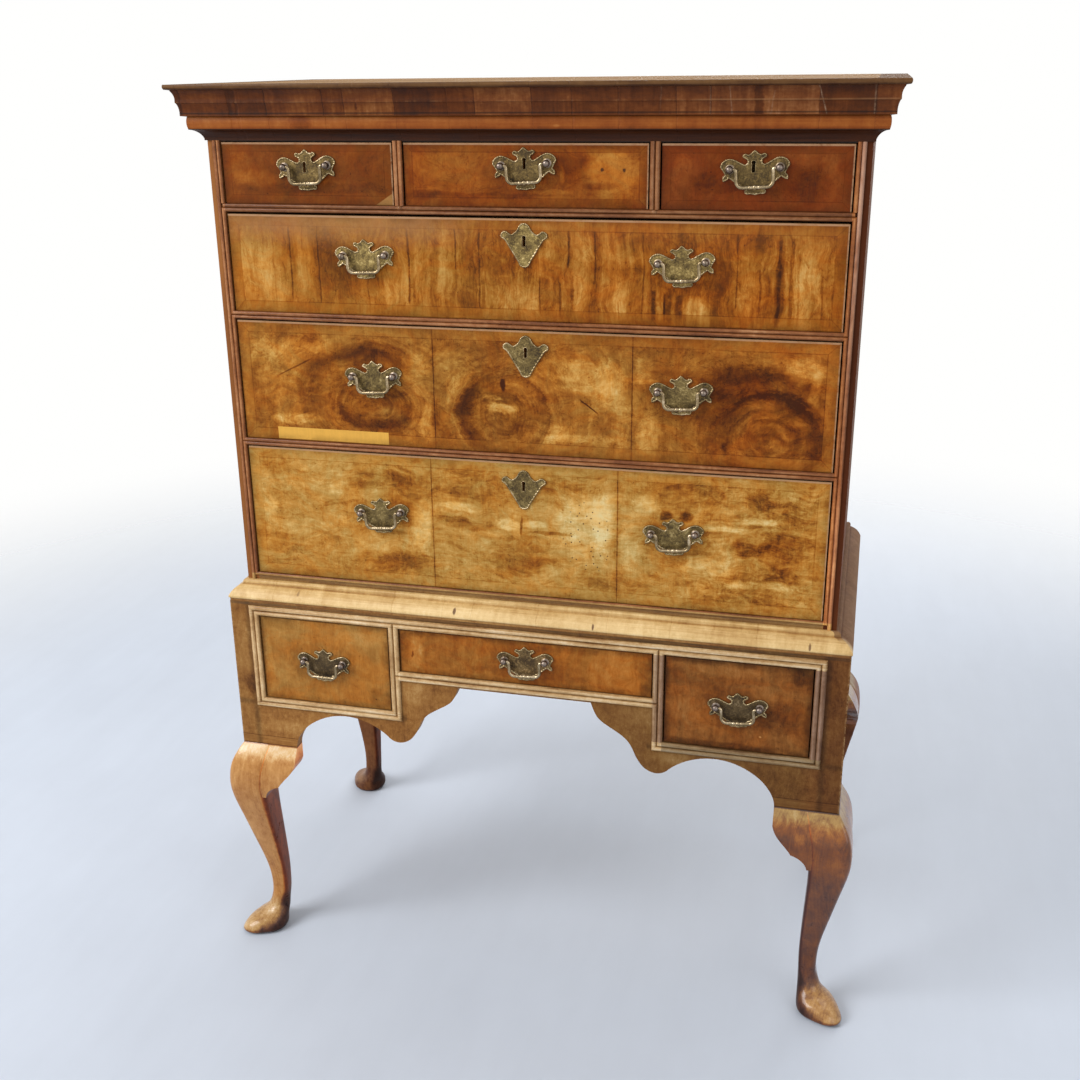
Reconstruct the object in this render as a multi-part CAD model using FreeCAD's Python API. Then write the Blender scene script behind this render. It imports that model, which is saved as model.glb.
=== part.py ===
import FreeCAD, Part
import math
import os

os.makedirs("parts", exist_ok=True)
V = FreeCAD.Vector

# Highboy: a chest of drawers on a stand. Millimetres, +Z up, front towards -Y.
# While it is built, y = 0 is the front plane of the upper case; the whole is then
# moved along Y so that the origin lies midway between the front and rear toes.

# ---- upper case ----
openingWidth = 960.0        # clear width between the case sides
caseSideThk = 21.0          # case side, seen from the front as the stile
caseDepth = 521.0           # front plane to the back of the back panel
caseBackThk = 8.0
caseTopThk = 18.0
caseBottomThk = 18.0
railThk = 12.8              # height of a drawer rail
railDepth = 60.0
dustboardThk = 8.0
bottomRailHeight = 48.0
bottomRailThk = 20.0
friezeHeight = 65.5         # rail behind the cornice
friezeThk = 34.0
partitionThk = 15.0
kickerWidth = 24.0
kickerThk = 12.0
topRowHeight = 93.0
topLeftWidth = 283.0
topMiddleWidth = 375.0
longHeights = {"lower": 228.7, "middle": 198.7, "upper": 155.7}

# ---- stand ----
legHeight = 402.0           # floor to the underside of the front board at the leg
standHeight = 278.0         # height of the front board at the leg
standOver = 26.0            # stand stands out past the case at the front and sides
standBackOver = 4.0
standFrontThk = 22.0
standSideThk = 20.0
standBackThk = 18.0
standBackHeight = 215.0
standTopThk = 8.0
standPartitionThk = 18.0
standTopRail = 23.5         # front board above the drawer openings
sideDrawerWidth = 238.0
sideDrawerHeight = 157.5
middleDrawerWidth = 436.0
middleDrawerHeight = 79.5
runnerWidth = 20.0
runnerHeight = 18.0
guideHeight = 22.0
postSize = 32.0             # corner post, the upper part of each leg

# shaped apron, as height above the leg joint at a distance from the middle
apronCrown = 154.0
apronCrownHalf = 115.0
apronPendant = 35.5
apronPendantX = 226.0
apronSideCrown = 75.0
apronSideCrownX = 325.0
sideApronCrown = 72.0

# ---- leg, measured outwards from the stand's corner along X and along Y ----
# height, centre, half width, squareness
legSections = [
    (402.0, -27.0, 27.0, 14.0),
    (394.0, -22.5, 28.5, 13.0),
    (382.0, -17.5, 31.0, 11.0),
    (366.0, -12.5, 33.4, 9.0),
    (346.0, -9.3, 34.8, 7.0),
    (320.0, -8.3, 34.8, 6.5),
    (288.0, -10.5, 31.8, 7.0),
    (250.0, -15.5, 27.6, 7.5),
    (203.0, -22.0, 23.2, 7.0),
    (155.0, -28.5, 18.8, 6.0),
    (121.0, -32.0, 16.4, 5.0),
    (89.0, -33.0, 15.4, 4.0),
    (68.0, -32.0, 15.8, 3.2),
]
# height, centre, radius, reach of the toe beyond the radius
footSections = [
    (54.0, -30.0, 17.8, 0.05),
    (43.0, -27.5, 20.0, 0.05),
    (35.0, -23.5, 24.0, 0.12),
    (28.5, -18.5, 29.0, 0.34),
    (22.0, -15.0, 32.5, 0.42),
    (14.0, -13.0, 34.5, 0.50),
    (7.5, -12.0, 34.5, 0.56),
    (3.0, -12.0, 32.0, 0.54),
    (0.0, -12.5, 27.5, 0.42),
]
sectionPoints = 28
earReach = 104.0            # outer end of the knee bracket from the stand's corner
earDrop = 99.0              # depth of the knee bracket below the board
earEndDrop = 28.0
earSetback = 1.4            # bracket face behind the face of the knee
earThk = 22.0

# ---- mouldings ----
beadWidth = 6.4             # each of the paired beads round the case drawers
standBeadWidth = 9.0
beadBase = 0.8
corniceHeight = 82.0
cornicePitch = 44.0         # how far the cornice stands out
waistHeight = 34.0
waistFillet = 1.5           # waist moulding's nose past the stand's face

# ---- drawers ----
drawerFrontThk = 20.0
drawerSideThk = 11.0
drawerBackThk = 10.0
drawerBottomThk = 7.0
drawerSideGap = 2.2
# clearance over each row of drawers, worn wider where the runners have sunk
drawerTopGap = {"top": 1.6, "upper": 3.6, "middle": 2.4, "lower": 2.2, "stand": 1.8}
slideGap = 0.3              # running clearance under a drawer
bottomRise = 6.0            # drawer bottom above the lower edge of its sides
stopHeight = 4.0
stopWidth = 30.0
stopDepth = 22.0
drawerBackClear = 8.0

# ---- brass pulls ----
plateHalfWidth = 48.5
plateUp = 24.5
plateDown = 36.5
plateThk = 1.8
pullSpacing = 70.0          # between the two posts
pullStandoff = 10.0         # pivot in front of the drawer face
postBallR = 5.5
postNeckR = 3.0
postRosetteR = 6.8
shankR = 2.2
shankClear = 0.15
nutSize = 9.0
nutThk = 3.0
bailR = 2.7
bailPinR = 1.9
bailPinClear = 0.3
bailDrop = 25.5
bailBend = 9.0              # radius of the lower corners
bailBeadR = 3.8
pullX = 245.0               # pulls of the long drawers, from the middle
pullRiseTop = 14.0          # posts above the middle of the opening
pullRiseLong = 14.65
pullRiseSide = 8.0
pullRiseMiddle = 11.0
# how far each pull was fitted off its place: sideways, upwards, and turned in degrees
pullFits = {
    "drawer_top_left": [(0.0, -3.5, 2.5)],
    "drawer_top_middle": [(1.5, 1.0, 3.5)],
    "drawer_top_right": [(-2.0, -2.0, 3.0)],
    "drawer_upper": [(-6.0, 0.5, 2.0), (-2.0, 1.0, 3.0)],
    "drawer_middle": [(-2.0, 0.5, 3.0), (2.0, -1.0, 2.5)],
    "drawer_lower": [(-1.0, -3.0, 4.0), (-4.0, -2.5, 4.0)],
    "drawer_stand_left": [(-3.0, -6.5, -1.0)],
    "drawer_stand_middle": [(4.0, -6.5, 3.0)],
    "drawer_stand_right": [(1.5, -8.5, 3.5)],
}

# ---- escutcheons and locks ----
shieldHalfWidth = 36.0
shieldUp = 21.5
shieldDown = 44.0
shieldThk = 1.6
# keyholes: sideways from the middle of the drawer; on the top drawers above the posts'
# nominal height, on the long ones below the top of the opening
keySide = {
    "drawer_top_left": -2.3, "drawer_top_middle": 1.5, "drawer_top_right": -4.0,
    "drawer_upper": 5.0, "drawer_middle": 5.0, "drawer_lower": -1.0,
}
keyRise = {"left": 0.0, "middle": 7.5, "right": 5.5}
keyDrop = {"upper": 31.0, "middle": 31.0, "lower": 35.5}
keyR = 2.8
keySlotWidth = 4.6
keySlotDrop = 13.0
lockWidth = 56.0
lockHeight = 58.0
lockThk = 10.0
boltWidth = 20.0
boltThk = 5.0
boltHeight = 24.0
boltClear = 0.4
boltThrow = 7.0

# ---- derived places ----
halfOpening = openingWidth / 2
caseHalf = halfOpening + caseSideThk
standHalf = caseHalf + standOver
standFront = -standOver
standBack = caseDepth + standBackOver
standTop = legHeight + standHeight
caseInnerBack = caseDepth - caseBackThk
topRightWidth = openingWidth - topLeftWidth - topMiddleWidth - 2 * partitionThk
standInnerFront = standFront + standFrontThk
standInnerBack = standBack - standBackThk
standInnerHalf = standHalf - standSideThk

rowBase = {}
z = standTop + bottomRailHeight
for row in ("lower", "middle", "upper"):
    rowBase[row] = z
    z += longHeights[row] + railThk
rowBase["top"] = z
friezeBase = z + topRowHeight
caseTopUnder = friezeBase + friezeHeight
caseTop = caseTopUnder + caseTopThk
rowHeight = dict(longHeights)
rowHeight["top"] = topRowHeight
corniceBase = caseTop - corniceHeight

footTip = max(c + r * (1 + e) / math.sqrt(2) for _, c, r, e in footSections)
yShift = -((standFront - footTip) + (standBack + footTip)) / 2

nodes = {}


def add(name, *shapes):
    nodes.setdefault(name, []).extend(shapes)


def box(x0, x1, y0, y1, z0, z1):
    return Part.makeBox(x1 - x0, y1 - y0, z1 - z0, V(x0, y0, z0))


def cylinder(radius, start, direction, length):
    return Part.makeCylinder(radius, length, start, direction)


def mirror_x(shape):
    return shape.mirror(V(0, 0, 0), V(1, 0, 0))


def prism_xz(edges, y0, y1):
    """Solid between two planes of constant y from a closed run of edges in the XZ plane."""
    wire = Part.Wire(Part.__sortEdges__(edges))
    face = Part.Face(wire)
    face.translate(V(0, y0, 0))
    return face.extrude(V(0, y1 - y0, 0))


def polygon_face(points):
    return Part.Face(Part.makePolygon(points + [points[0]]))


def curve(points):
    if len(points) == 2:
        return Part.LineSegment(points[0], points[1]).toShape()
    spline = Part.BSplineCurve()
    spline.interpolate(points)
    return spline.toShape()


# ---------------------------------------------------------------- legs
def section_wire(height, xs, ys):
    poles = [V(x, y, height) for x, y in zip(xs, ys)]
    ring = Part.BSplineCurve()
    ring.buildFromPolesMultsKnots(
        poles, [1] * (len(poles) + 1), list(range(len(poles) + 1)), True, 3)
    return Part.Wire(ring.toShape())


def signed_power(value, exponent):
    return math.copysign(abs(value) ** exponent, value)


def build_leg(board):
    """Front right leg; the corner of the stand is the local origin, outwards is +X, -Y.
    The post above the knee stands behind the side board and a board of the given thickness."""
    scale = legHeight / legSections[0][0]
    wires = []
    turns = [2 * math.pi * i / sectionPoints for i in range(sectionPoints)]
    for height, centre, half, square in legSections:
        xs = [centre + half * signed_power(math.cos(t), 2 / square) for t in turns]
        ys = [-(centre + half * signed_power(math.sin(t), 2 / square)) for t in turns]
        wires.append(section_wire(height * scale, xs, ys))
    for height, centre, radius, reach in footSections:
        xs, ys = [], []
        for t in turns:
            toe = max(0.0, math.cos(t - math.pi / 4)) ** 5
            r = radius * (1 + reach * toe)
            xs.append(centre + r * math.cos(t))
            ys.append(-(centre + r * math.sin(t)))
        wires.append(section_wire(height * scale, xs, ys))
    leg = Part.makeLoft(wires, True, False)
    inner = standSideThk
    post = box(-inner - postSize, -inner, board, board + postSize,
               legHeight, standTop - standTopThk)
    return leg.fuse(post).removeSplitter()


def knee_out(height):
    """How far the knee's face stands out past the board at a height under the joint."""
    scale = legHeight / legSections[0][0]
    rows = [(h * scale, c + w) for h, c, w, _ in legSections]
    for (h1, o1), (h0, o0) in zip(rows, rows[1:]):
        if h0 <= height <= h1:
            return o0 + (o1 - o0) * (height - h0) / (h1 - h0)
    return rows[0][1]


def build_ear(leg):
    """Knee bracket beside the leg, along -X from the corner."""
    low = legHeight - earDrop
    end = legHeight - earEndDrop
    cusp = V(-earReach + 32, 0, low + 26)
    lower = curve([V(-earReach, 0, end), V(-earReach + 6.5, 0, end - 14),
                   V(-earReach + 18.5, 0, end - 28), cusp])
    scoop = curve([cusp, V(-earReach + 42, 0, low + 22.5), V(-earReach + 52, 0, low + 15),
                   V(-earReach + 59, 0, low)])
    outline = [lower, scoop,
               curve([V(-earReach + 59, 0, low), V(-25, 0, low)]),
               curve([V(-25, 0, low), V(-25, 0, legHeight)]),
               curve([V(-25, 0, legHeight), V(-earReach, 0, legHeight)]),
               curve([V(-earReach, 0, legHeight), V(-earReach, 0, end)])]
    blank = prism_xz(outline, -60, earThk)
    steps = [low - 1 + (legHeight - low + 1) * i / 10 for i in range(11)]
    face_line = [V(0, -max(knee_out(h) - earSetback, 0), h) for h in steps]
    face_line[-1] = V(0, 0, legHeight)
    knee = [curve(face_line),
            curve([V(0, 0, legHeight), V(0, earThk, legHeight)]),
            curve([V(0, earThk, legHeight), V(0, earThk, low - 1)]),
            curve([V(0, earThk, low - 1), face_line[0]])]
    profile = Part.Face(Part.Wire(Part.__sortEdges__(knee)))
    profile.translate(V(-earReach - 10, 0, 0))
    shaped = profile.extrude(V(earReach + 20, 0, 0))
    return blank.common(shaped).cut(leg)


leg = build_leg(standFrontThk)
rear_leg = build_leg(standBackThk)
ear = build_ear(leg)
# the same bracket on the other side of the leg: swap X and -Y
side_ear = ear.mirror(V(0, 0, 0), V(1, 1, 0))


def at_corner(shape, left, rear):
    out = shape.copy()
    if rear:
        out = out.mirror(V(0, 0, 0), V(0, 1, 0))
        out.translate(V(standHalf, standBack, 0))
    else:
        out.translate(V(standHalf, standFront, 0))
    return mirror_x(out) if left else out


for rear in (False, True):
    for left in (True, False):
        name = "leg_%s_%s" % ("rear" if rear else "front", "left" if left else "right")
        add(name, at_corner(rear_leg if rear else leg, left, rear))
        if not rear:
            add("knee_brackets", at_corner(ear, left, rear))
        add("knee_brackets", at_corner(side_ear, left, rear))

# ---------------------------------------------------------------- stand boards
drawerTop = standTop - standTopRail
sideBase = drawerTop - sideDrawerHeight
middleBase = drawerTop - middleDrawerHeight
middleHalf = middleDrawerWidth / 2
sideInner = middleHalf + standPartitionThk
sideOuter = sideInner + sideDrawerWidth
earX = standHalf - earReach
joint = legHeight


def rise(points):
    return [V(x, 0, joint + h) for x, h in points]


def apron_half():
    """Lower edge of the front board from the middle to the leg joint, right half."""
    c, s, p = apronCrown, apronSideCrown, apronPendant
    px, sx, cx = apronPendantX, apronSideCrownX, apronCrownHalf
    span = px - cx
    ogee = rise([(cx, c), (cx + 0.02 * span, c - 6), (cx + 0.05 * span, c - 15),
                 (cx + 0.12 * span, c - 28), (cx + 0.24 * span, c - 38.5),
                 (cx + 0.39 * span, c - 48.5), (cx + 0.53 * span, c - 60),
                 (cx + 0.62 * span, c - 73), (cx + 0.68 * span, c - 88),
                 (cx + 0.74 * span, c - 100), (cx + 0.80 * span, c - 108.5)])
    drop = ogee[-1]
    pendant = [drop, V(cx + 0.88 * span, 0, joint + p + 3.6), V(px, 0, joint + p),
               V(px + 12, 0, joint + p + 2.6), V(px + 21, 0, joint + p + 9.5)]
    cusp = pendant[-1]
    span2 = sx - cusp.x
    lift = s - (cusp.z - joint)
    flank = [cusp, V(cusp.x + 0.13 * span2, 0, cusp.z + 0.28 * lift),
             V(cusp.x + 0.38 * span2, 0, cusp.z + 0.66 * lift),
             V(cusp.x + 0.68 * span2, 0, cusp.z + 0.92 * lift), V(sx, 0, joint + s)]
    span3 = earX - sx
    shoulder = [V(sx, 0, joint + s), V(sx + 0.30 * span3, 0, joint + 0.94 * s),
                V(sx + 0.56 * span3, 0, joint + 0.79 * s),
                V(sx + 0.76 * span3, 0, joint + 0.60 * s),
                V(sx + 0.91 * span3, 0, joint + 0.36 * s),
                V(sx + 0.975 * span3, 0, joint + 0.18 * s), V(earX, 0, joint)]
    return [ogee, pendant, flank + shoulder[1:]]


right = apron_half()
left = [[V(-p.x, 0, p.z) for p in reversed(part)] for part in reversed(right)]
edges = [curve(part) for part in left]
edges.append(curve([left[-1][-1], right[0][0]]))
edges += [curve(part) for part in right]
edges.append(curve([V(earX, 0, joint), V(standHalf, 0, joint)]))
edges.append(curve([V(standHalf, 0, joint), V(standHalf, 0, standTop)]))
edges.append(curve([V(standHalf, 0, standTop), V(-standHalf, 0, standTop)]))
edges.append(curve([V(-standHalf, 0, standTop), V(-standHalf, 0, joint)]))
edges.append(curve([V(-standHalf, 0, joint), V(-earX, 0, joint)]))
board = prism_xz(edges, standFront, standInnerFront)
standOpenings = {"left": (-sideOuter, -sideInner, sideBase, drawerTop),
                 "middle": (-middleHalf, middleHalf, middleBase, drawerTop),
                 "right": (sideInner, sideOuter, sideBase, drawerTop)}
# the front is framed up: top rail, end stiles, dividers, and three apron pieces
cells = [(-standHalf, standHalf, drawerTop, standTop),
         (-middleHalf, middleHalf, joint, middleBase)]
for sign in (-1, 1):
    for a, b, z0, z1 in ((sideOuter, standHalf, joint, drawerTop),
                         (middleHalf, sideInner, sideBase, drawerTop),
                         (middleHalf, sideOuter, joint, sideBase)):
        cells.append((min(sign * a, sign * b), max(sign * a, sign * b), z0, z1))
for x0, x1, z0, z1 in cells:
    add("stand_front", board.common(box(x0, x1, standFront, standInnerFront, z0, z1)))

# side boards with a plain arch between the brackets
y0, y1 = standInnerFront, standBack
a0 = standFront + earReach
a1 = standBack - earReach
c = sideApronCrown
side_edges = [
    curve([V(0, y0, joint), V(0, a0, joint)]),
    curve([V(0, a0, joint), V(0, a0 + 3, joint + 0.18 * c), V(0, a0 + 10, joint + 0.36 * c),
           V(0, a0 + 25, joint + 0.62 * c), V(0, a0 + 45, joint + 0.81 * c),
           V(0, a0 + 72, joint + 0.95 * c), V(0, a0 + 105, joint + c)]),
    curve([V(0, a0 + 105, joint + c), V(0, a1 - 105, joint + c)]),
    curve([V(0, a1 - 105, joint + c), V(0, a1 - 72, joint + 0.95 * c),
           V(0, a1 - 45, joint + 0.81 * c), V(0, a1 - 25, joint + 0.62 * c),
           V(0, a1 - 10, joint + 0.36 * c), V(0, a1 - 3, joint + 0.18 * c), V(0, a1, joint)]),
    curve([V(0, a1, joint), V(0, y1, joint)]),
    curve([V(0, y1, joint), V(0, y1, standTop)]),
    curve([V(0, y1, standTop), V(0, y0, standTop)]),
    curve([V(0, y0, standTop), V(0, y0, joint)]),
]
side_face = Part.Face(Part.Wire(Part.__sortEdges__(side_edges)))
side_face.translate(V(standInnerHalf, 0, 0))
side_board = side_face.extrude(V(standSideThk, 0, 0))
add("stand_sides", mirror_x(side_board), side_board)

# inside the stand: back board, top, partitions, runners, guides, kickers
add("stand_frame", box(-standInnerHalf, standInnerHalf, standInnerBack, standBack,
                       standTop - standBackHeight, standTop - standTopThk))
add("stand_frame", box(-standInnerHalf, standInnerHalf, standInnerFront, standBack,
                       standTop - standTopThk, standTop))
under = standTop - standTopThk
postBack = standInnerFront + postSize
for sign in (-1, 1):
    def span(a, b):
        return (min(sign * a, sign * b), max(sign * a, sign * b))
    x0, x1 = span(middleHalf, sideInner)
    add("stand_frame", box(x0, x1, standInnerFront, standInnerBack,
                           sideBase - runnerHeight, under))
    # runner and guide for the outer side of the deep drawer, one L-shaped piece
    x0, x1 = span(sideOuter - runnerWidth + 6, standInnerHalf)
    runner = box(x0, x1, postBack, standInnerBack - postSize,
                 sideBase - runnerHeight, sideBase)
    x0, x1 = span(sideOuter + 0.5, standInnerHalf)
    guide = box(x0, x1, postBack, standInnerBack - postSize, sideBase,
                sideBase + guideHeight)
    add("stand_frame", runner.fuse(guide).removeSplitter())
    # runners on both faces of the partition
    x0, x1 = span(sideInner, sideInner + runnerWidth)
    add("stand_frame", box(x0, x1, standInnerFront, standInnerBack,
                           sideBase - runnerHeight, sideBase))
    x0, x1 = span(middleHalf - runnerWidth, middleHalf)
    add("stand_frame", box(x0, x1, standInnerFront, standInnerBack,
                           middleBase - runnerHeight, middleBase))
    # kickers under the top
    x0, x1 = span(sideInner, sideInner + runnerWidth)
    add("stand_frame", box(x0, x1, standInnerFront, standInnerBack, drawerTop, under))
    x0, x1 = span(middleHalf - runnerWidth, middleHalf)
    add("stand_frame", box(x0, x1, standInnerFront, standInnerBack, drawerTop, under))
    x0, x1 = span(sideOuter - runnerWidth, standInnerHalf)
    add("stand_frame", box(x0, x1, postBack, standInnerBack - postSize, drawerTop, under))

# ---------------------------------------------------------------- upper case
for side in (box(halfOpening, caseHalf, 0, caseInnerBack, standTop, caseTopUnder),):
    add("case_sides", mirror_x(side), side)
add("case_panels",
    box(-caseHalf, caseHalf, 0, caseDepth, caseTopUnder, caseTop),
    box(-caseHalf, caseHalf, caseInnerBack, caseDepth, standTop, caseTopUnder),
    box(-halfOpening, halfOpening, bottomRailThk, caseInnerBack,
        rowBase["lower"] - caseBottomThk, rowBase["lower"]))

lockY0 = drawerFrontThk
boltY0 = lockY0 + (lockThk - boltThk) / 2
boltY1 = boltY0 + boltThk


def mortise(x, base):
    half = boltWidth / 2 + boltClear
    return box(x - half, x + half, boltY0 - boltClear, boltY1 + boltClear,
               base - 1, base + boltThrow + 1.5)


topSpans = {"left": (-halfOpening, -halfOpening + topLeftWidth)}
x = topSpans["left"][1] + partitionThk
topSpans["middle"] = (x, x + topMiddleWidth)
x += topMiddleWidth + partitionThk
topSpans["right"] = (x, x + topRightWidth)

add("case_rails", box(-halfOpening, halfOpening, 0, bottomRailThk, standTop,
                      rowBase["lower"]))
for below, above in (("lower", "middle"), ("middle", "upper"), ("upper", "top")):
    top = rowBase[above]
    rail = box(-halfOpening, halfOpening, 0, railDepth, top - railThk, top)
    add("case_rails", rail.cut(mortise(keySide["drawer_" + below], top - railThk)))
    add("case_panels", box(-halfOpening, halfOpening, railDepth, caseInnerBack,
                           top - dustboardThk, top))
frieze = box(-halfOpening, halfOpening, 0, friezeThk, friezeBase, caseTopUnder)
for key, (x0, x1) in topSpans.items():
    frieze = frieze.cut(mortise((x0 + x1) / 2 + keySide["drawer_top_" + key], friezeBase))
add("case_rails", frieze)
walls = []
for key in ("left", "middle"):
    x0 = topSpans[key][1]
    walls.append(x0 + partitionThk / 2)
    add("case_rails", box(x0, x0 + partitionThk, 0, caseInnerBack, rowBase["top"],
                          friezeBase))
for centre in [-halfOpening + kickerWidth / 2] + walls + [halfOpening - kickerWidth / 2]:
    half = kickerWidth / 2
    add("case_rails", box(centre - half, centre + half, friezeThk, caseInnerBack,
                          friezeBase, friezeBase + kickerThk))


def stops(x0, x1, base, front, rail_back):
    """Two blocks that the back of the drawer front meets when the drawer is shut."""
    out = []
    start = front + drawerFrontThk + slideGap
    for share in (0.25, 0.75):
        centre = x0 + (x1 - x0) * share
        out.append(box(centre - stopWidth / 2, centre + stopWidth / 2, start,
                       min(start + stopDepth, rail_back), base, base + stopHeight))
    return out


# ---------------------------------------------------------------- beads
def half_round(radius, length):
    """Bead along +X from the origin, its back on y = 0, bulging towards -Y."""
    base = Part.LineSegment(V(0, 0, -radius), V(0, 0, radius)).toShape()
    lower = Part.LineSegment(V(0, 0, -radius), V(0, -beadBase, -radius)).toShape()
    upper = Part.LineSegment(V(0, -beadBase, radius), V(0, 0, radius)).toShape()
    arc = Part.Arc(V(0, -beadBase, -radius), V(0, -beadBase - radius, 0),
                   V(0, -beadBase, radius)).toShape()
    face = Part.Face(Part.Wire([base, upper, arc, lower]))
    return face.extrude(V(length, 0, 0))


def bead_loop(corners, width, face_y, closed=True):
    """Mitred beads along a run of corners (x, z), each on its own centre line."""
    radius = width / 2 - 0.02
    count = len(corners)
    pieces = []
    segments = count if closed else count - 1
    for i in range(segments):
        p, q = corners[i], corners[(i + 1) % count]
        dx, dz = q[0] - p[0], q[1] - p[1]
        length = math.hypot(dx, dz)
        ux, uz = dx / length, dz / length
        extra = width
        has_start = closed or i > 0
        has_end = closed or i < segments - 1
        start = extra if has_start else 0
        end = extra if has_end else 0
        bead = half_round(radius, length + start + end)
        bead.translate(V(-start, 0, 0))
        bead.rotate(V(0, 0, 0), V(0, 1, 0), -math.degrees(math.atan2(uz, ux)))
        bead.translate(V(p[0], 0, p[1]))
        if has_start:
            o = corners[i - 1]
            bead = bead.cut(mitre_block(p, (o[0] - p[0], o[1] - p[1]), (ux, uz), width))
        if has_end:
            n = corners[(i + 2) % count]
            bead = bead.cut(mitre_block(q, (n[0] - q[0], n[1] - q[1]), (-ux, -uz), width))
        bead.translate(V(0, face_y, 0))
        pieces.append(bead)
    return pieces


def mitre_block(corner, other, own, width):
    """Block on the far side of the mitre line, to be cut away from a bead."""
    length = math.hypot(*other)
    ox, oz = other[0] / length, other[1] / length
    nx, nz = ox - own[0], oz - own[1]
    size = math.hypot(nx, nz)
    nx, nz = nx / size, nz / size
    tx, tz = -nz, nx
    reach = 4 * width
    cx, cz = corner

    def at(a, b):
        return V(cx + a * tx + b * nx, -reach, cz + a * tz + b * nz)
    face = polygon_face([at(-reach, 0), at(reach, 0), at(reach, reach), at(-reach, reach)])
    return face.extrude(V(0, 2 * reach, 0))


def frame_corners(x0, x1, z0, z1, out):
    return [(x0 - out, z0 - out), (x1 + out, z0 - out), (x1 + out, z1 + out),
            (x0 - out, z1 + out)]


half = beadWidth / 2
for row in ("lower", "middle", "upper"):
    base = rowBase[row]
    add("case_beads", *bead_loop(
        frame_corners(-halfOpening, halfOpening, base, base + rowHeight[row], half),
        beadWidth, 0))
top = rowBase["top"]
partHalf = partitionThk / 4
for key, (x0, x1) in topSpans.items():
    # the partitions are narrower than two beads, so those beads are narrower too
    inner = partitionThk / 2
    lo = half if key == "left" else partHalf
    hi = half if key == "right" else partHalf
    corners = [(x0 - lo, top - half), (x1 + hi, top - half),
               (x1 + hi, friezeBase + 1), (x0 - lo, friezeBase + 1)]
    run = bead_loop([corners[0], corners[1]], beadWidth, 0, closed=False)
    for bead in run:
        add("case_beads", bead.common(box(x0 - 2 * lo, x1 + 2 * hi, -20, 1,
                                          top - beadWidth, top)))
    for x, wide, edge in ((x0, lo * 2, -1), (x1, hi * 2, 1)):
        centre = x + edge * wide / 2
        add("case_beads", *bead_loop([(centre, top), (centre, corniceBase)], wide, 0,
                                     closed=False))
for sign in (-1, 1):
    x = sign * (halfOpening + 1.5 * beadWidth)
    add("case_beads", *bead_loop([(x, standTop + waistHeight), (x, corniceBase)],
                                 beadWidth, 0, closed=False))

half = standBeadWidth / 2
for x0, x1, z0, z1 in standOpenings.values():
    add("stand_beads", *bead_loop(frame_corners(x0, x1, z0, z1, half), standBeadWidth,
                                  standFront))
out = 1.5 * standBeadWidth
low = sideBase - out
mid = middleBase - out
outer = sideOuter + out
step = sideInner - out
add("stand_beads", *bead_loop(
    [(-outer, low), (-step, low), (-step, mid), (step, mid), (step, low), (outer, low),
     (outer, drawerTop + out), (-outer, drawerTop + out)], standBeadWidth, standFront))


# ---------------------------------------------------------------- mouldings
def mitred_runs(profile, half_width, front, back):
    """Front length and two returns of a moulding; profile is a face in the YZ plane
    whose y runs from 0 at the carcase outwards to -Y."""
    reach = 120.0
    low, high = profile.BoundBox.ZMin - 1, profile.BoundBox.ZMax + 1
    blank = profile.copy()
    blank.translate(V(-half_width - reach, front, 0))
    blank = blank.extrude(V(2 * (half_width + reach), 0, 0))
    wedge = polygon_face([V(-half_width, front, low), V(half_width, front, low),
                          V(half_width + reach, front - reach, low),
                          V(-half_width - reach, front - reach, low)])
    run = blank.common(wedge.extrude(V(0, 0, high - low)))
    side = profile.copy()
    side.rotate(V(0, 0, 0), V(0, 0, 1), 90)
    side.translate(V(half_width, front - reach, 0))
    side = side.extrude(V(0, back - front + reach, 0))
    wedge = polygon_face([V(half_width, front, low), V(half_width, back, low),
                          V(half_width + reach, back, low),
                          V(half_width + reach, front - reach, low)])
    ret = side.common(wedge.extrude(V(0, 0, high - low)))
    return [run, mirror_x(ret), ret]


def profile_face(steps):
    """Face from a run of steps: ("line", (p, z)) or ("arc", middle, (p, z))."""
    def at(point):
        return V(0, -point[0], point[1])
    here = steps[0][1]
    made = []
    for step in steps[1:]:
        if step[0] == "line":
            made.append(Part.LineSegment(at(here), at(step[1])).toShape())
            here = step[1]
        else:
            made.append(Part.Arc(at(here), at(step[1]), at(step[2])).toShape())
            here = step[2]
    return Part.Face(Part.Wire(made))


def scaled_profile(steps, width, height, base):
    """Profile drawn with width 44 and height 82, taken to the asked size."""
    def size(point):
        return (point[0] * width, base + point[1] * height)
    return profile_face([(s[0],) + tuple(size(p) for p in s[1:]) for s in steps])


# cornice, from the bottom: cove, band, step, two hollows with a bead line, top fillet
cornice = [
    ("at", (0, 0)), ("line", (0.07, 0)), ("line", (0.07, 0.03)),
    ("arc", (0.19, 0.135), (0.45, 0.2)), ("line", (0.46, 0.22)),
    ("arc", (0.488, 0.325), (0.46, 0.43)), ("line", (0.63, 0.445)),
    ("line", (0.63, 0.49)), ("arc", (0.645, 0.585), (0.70, 0.67)),
    ("line", (0.725, 0.675)), ("line", (0.725, 0.71)),
    ("arc", (0.74, 0.80), (0.82, 0.885)), ("line", (0.83, 0.90)),
    ("line", (0.965, 0.912)), ("arc", (1.0, 0.95), (0.985, 1.0)),
    ("line", (0, 1.0)), ("line", (0, 0)),
]
add("cornice", *mitred_runs(scaled_profile(cornice, cornicePitch, corniceHeight, corniceBase),
                            caseHalf, 0, caseDepth))

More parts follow.
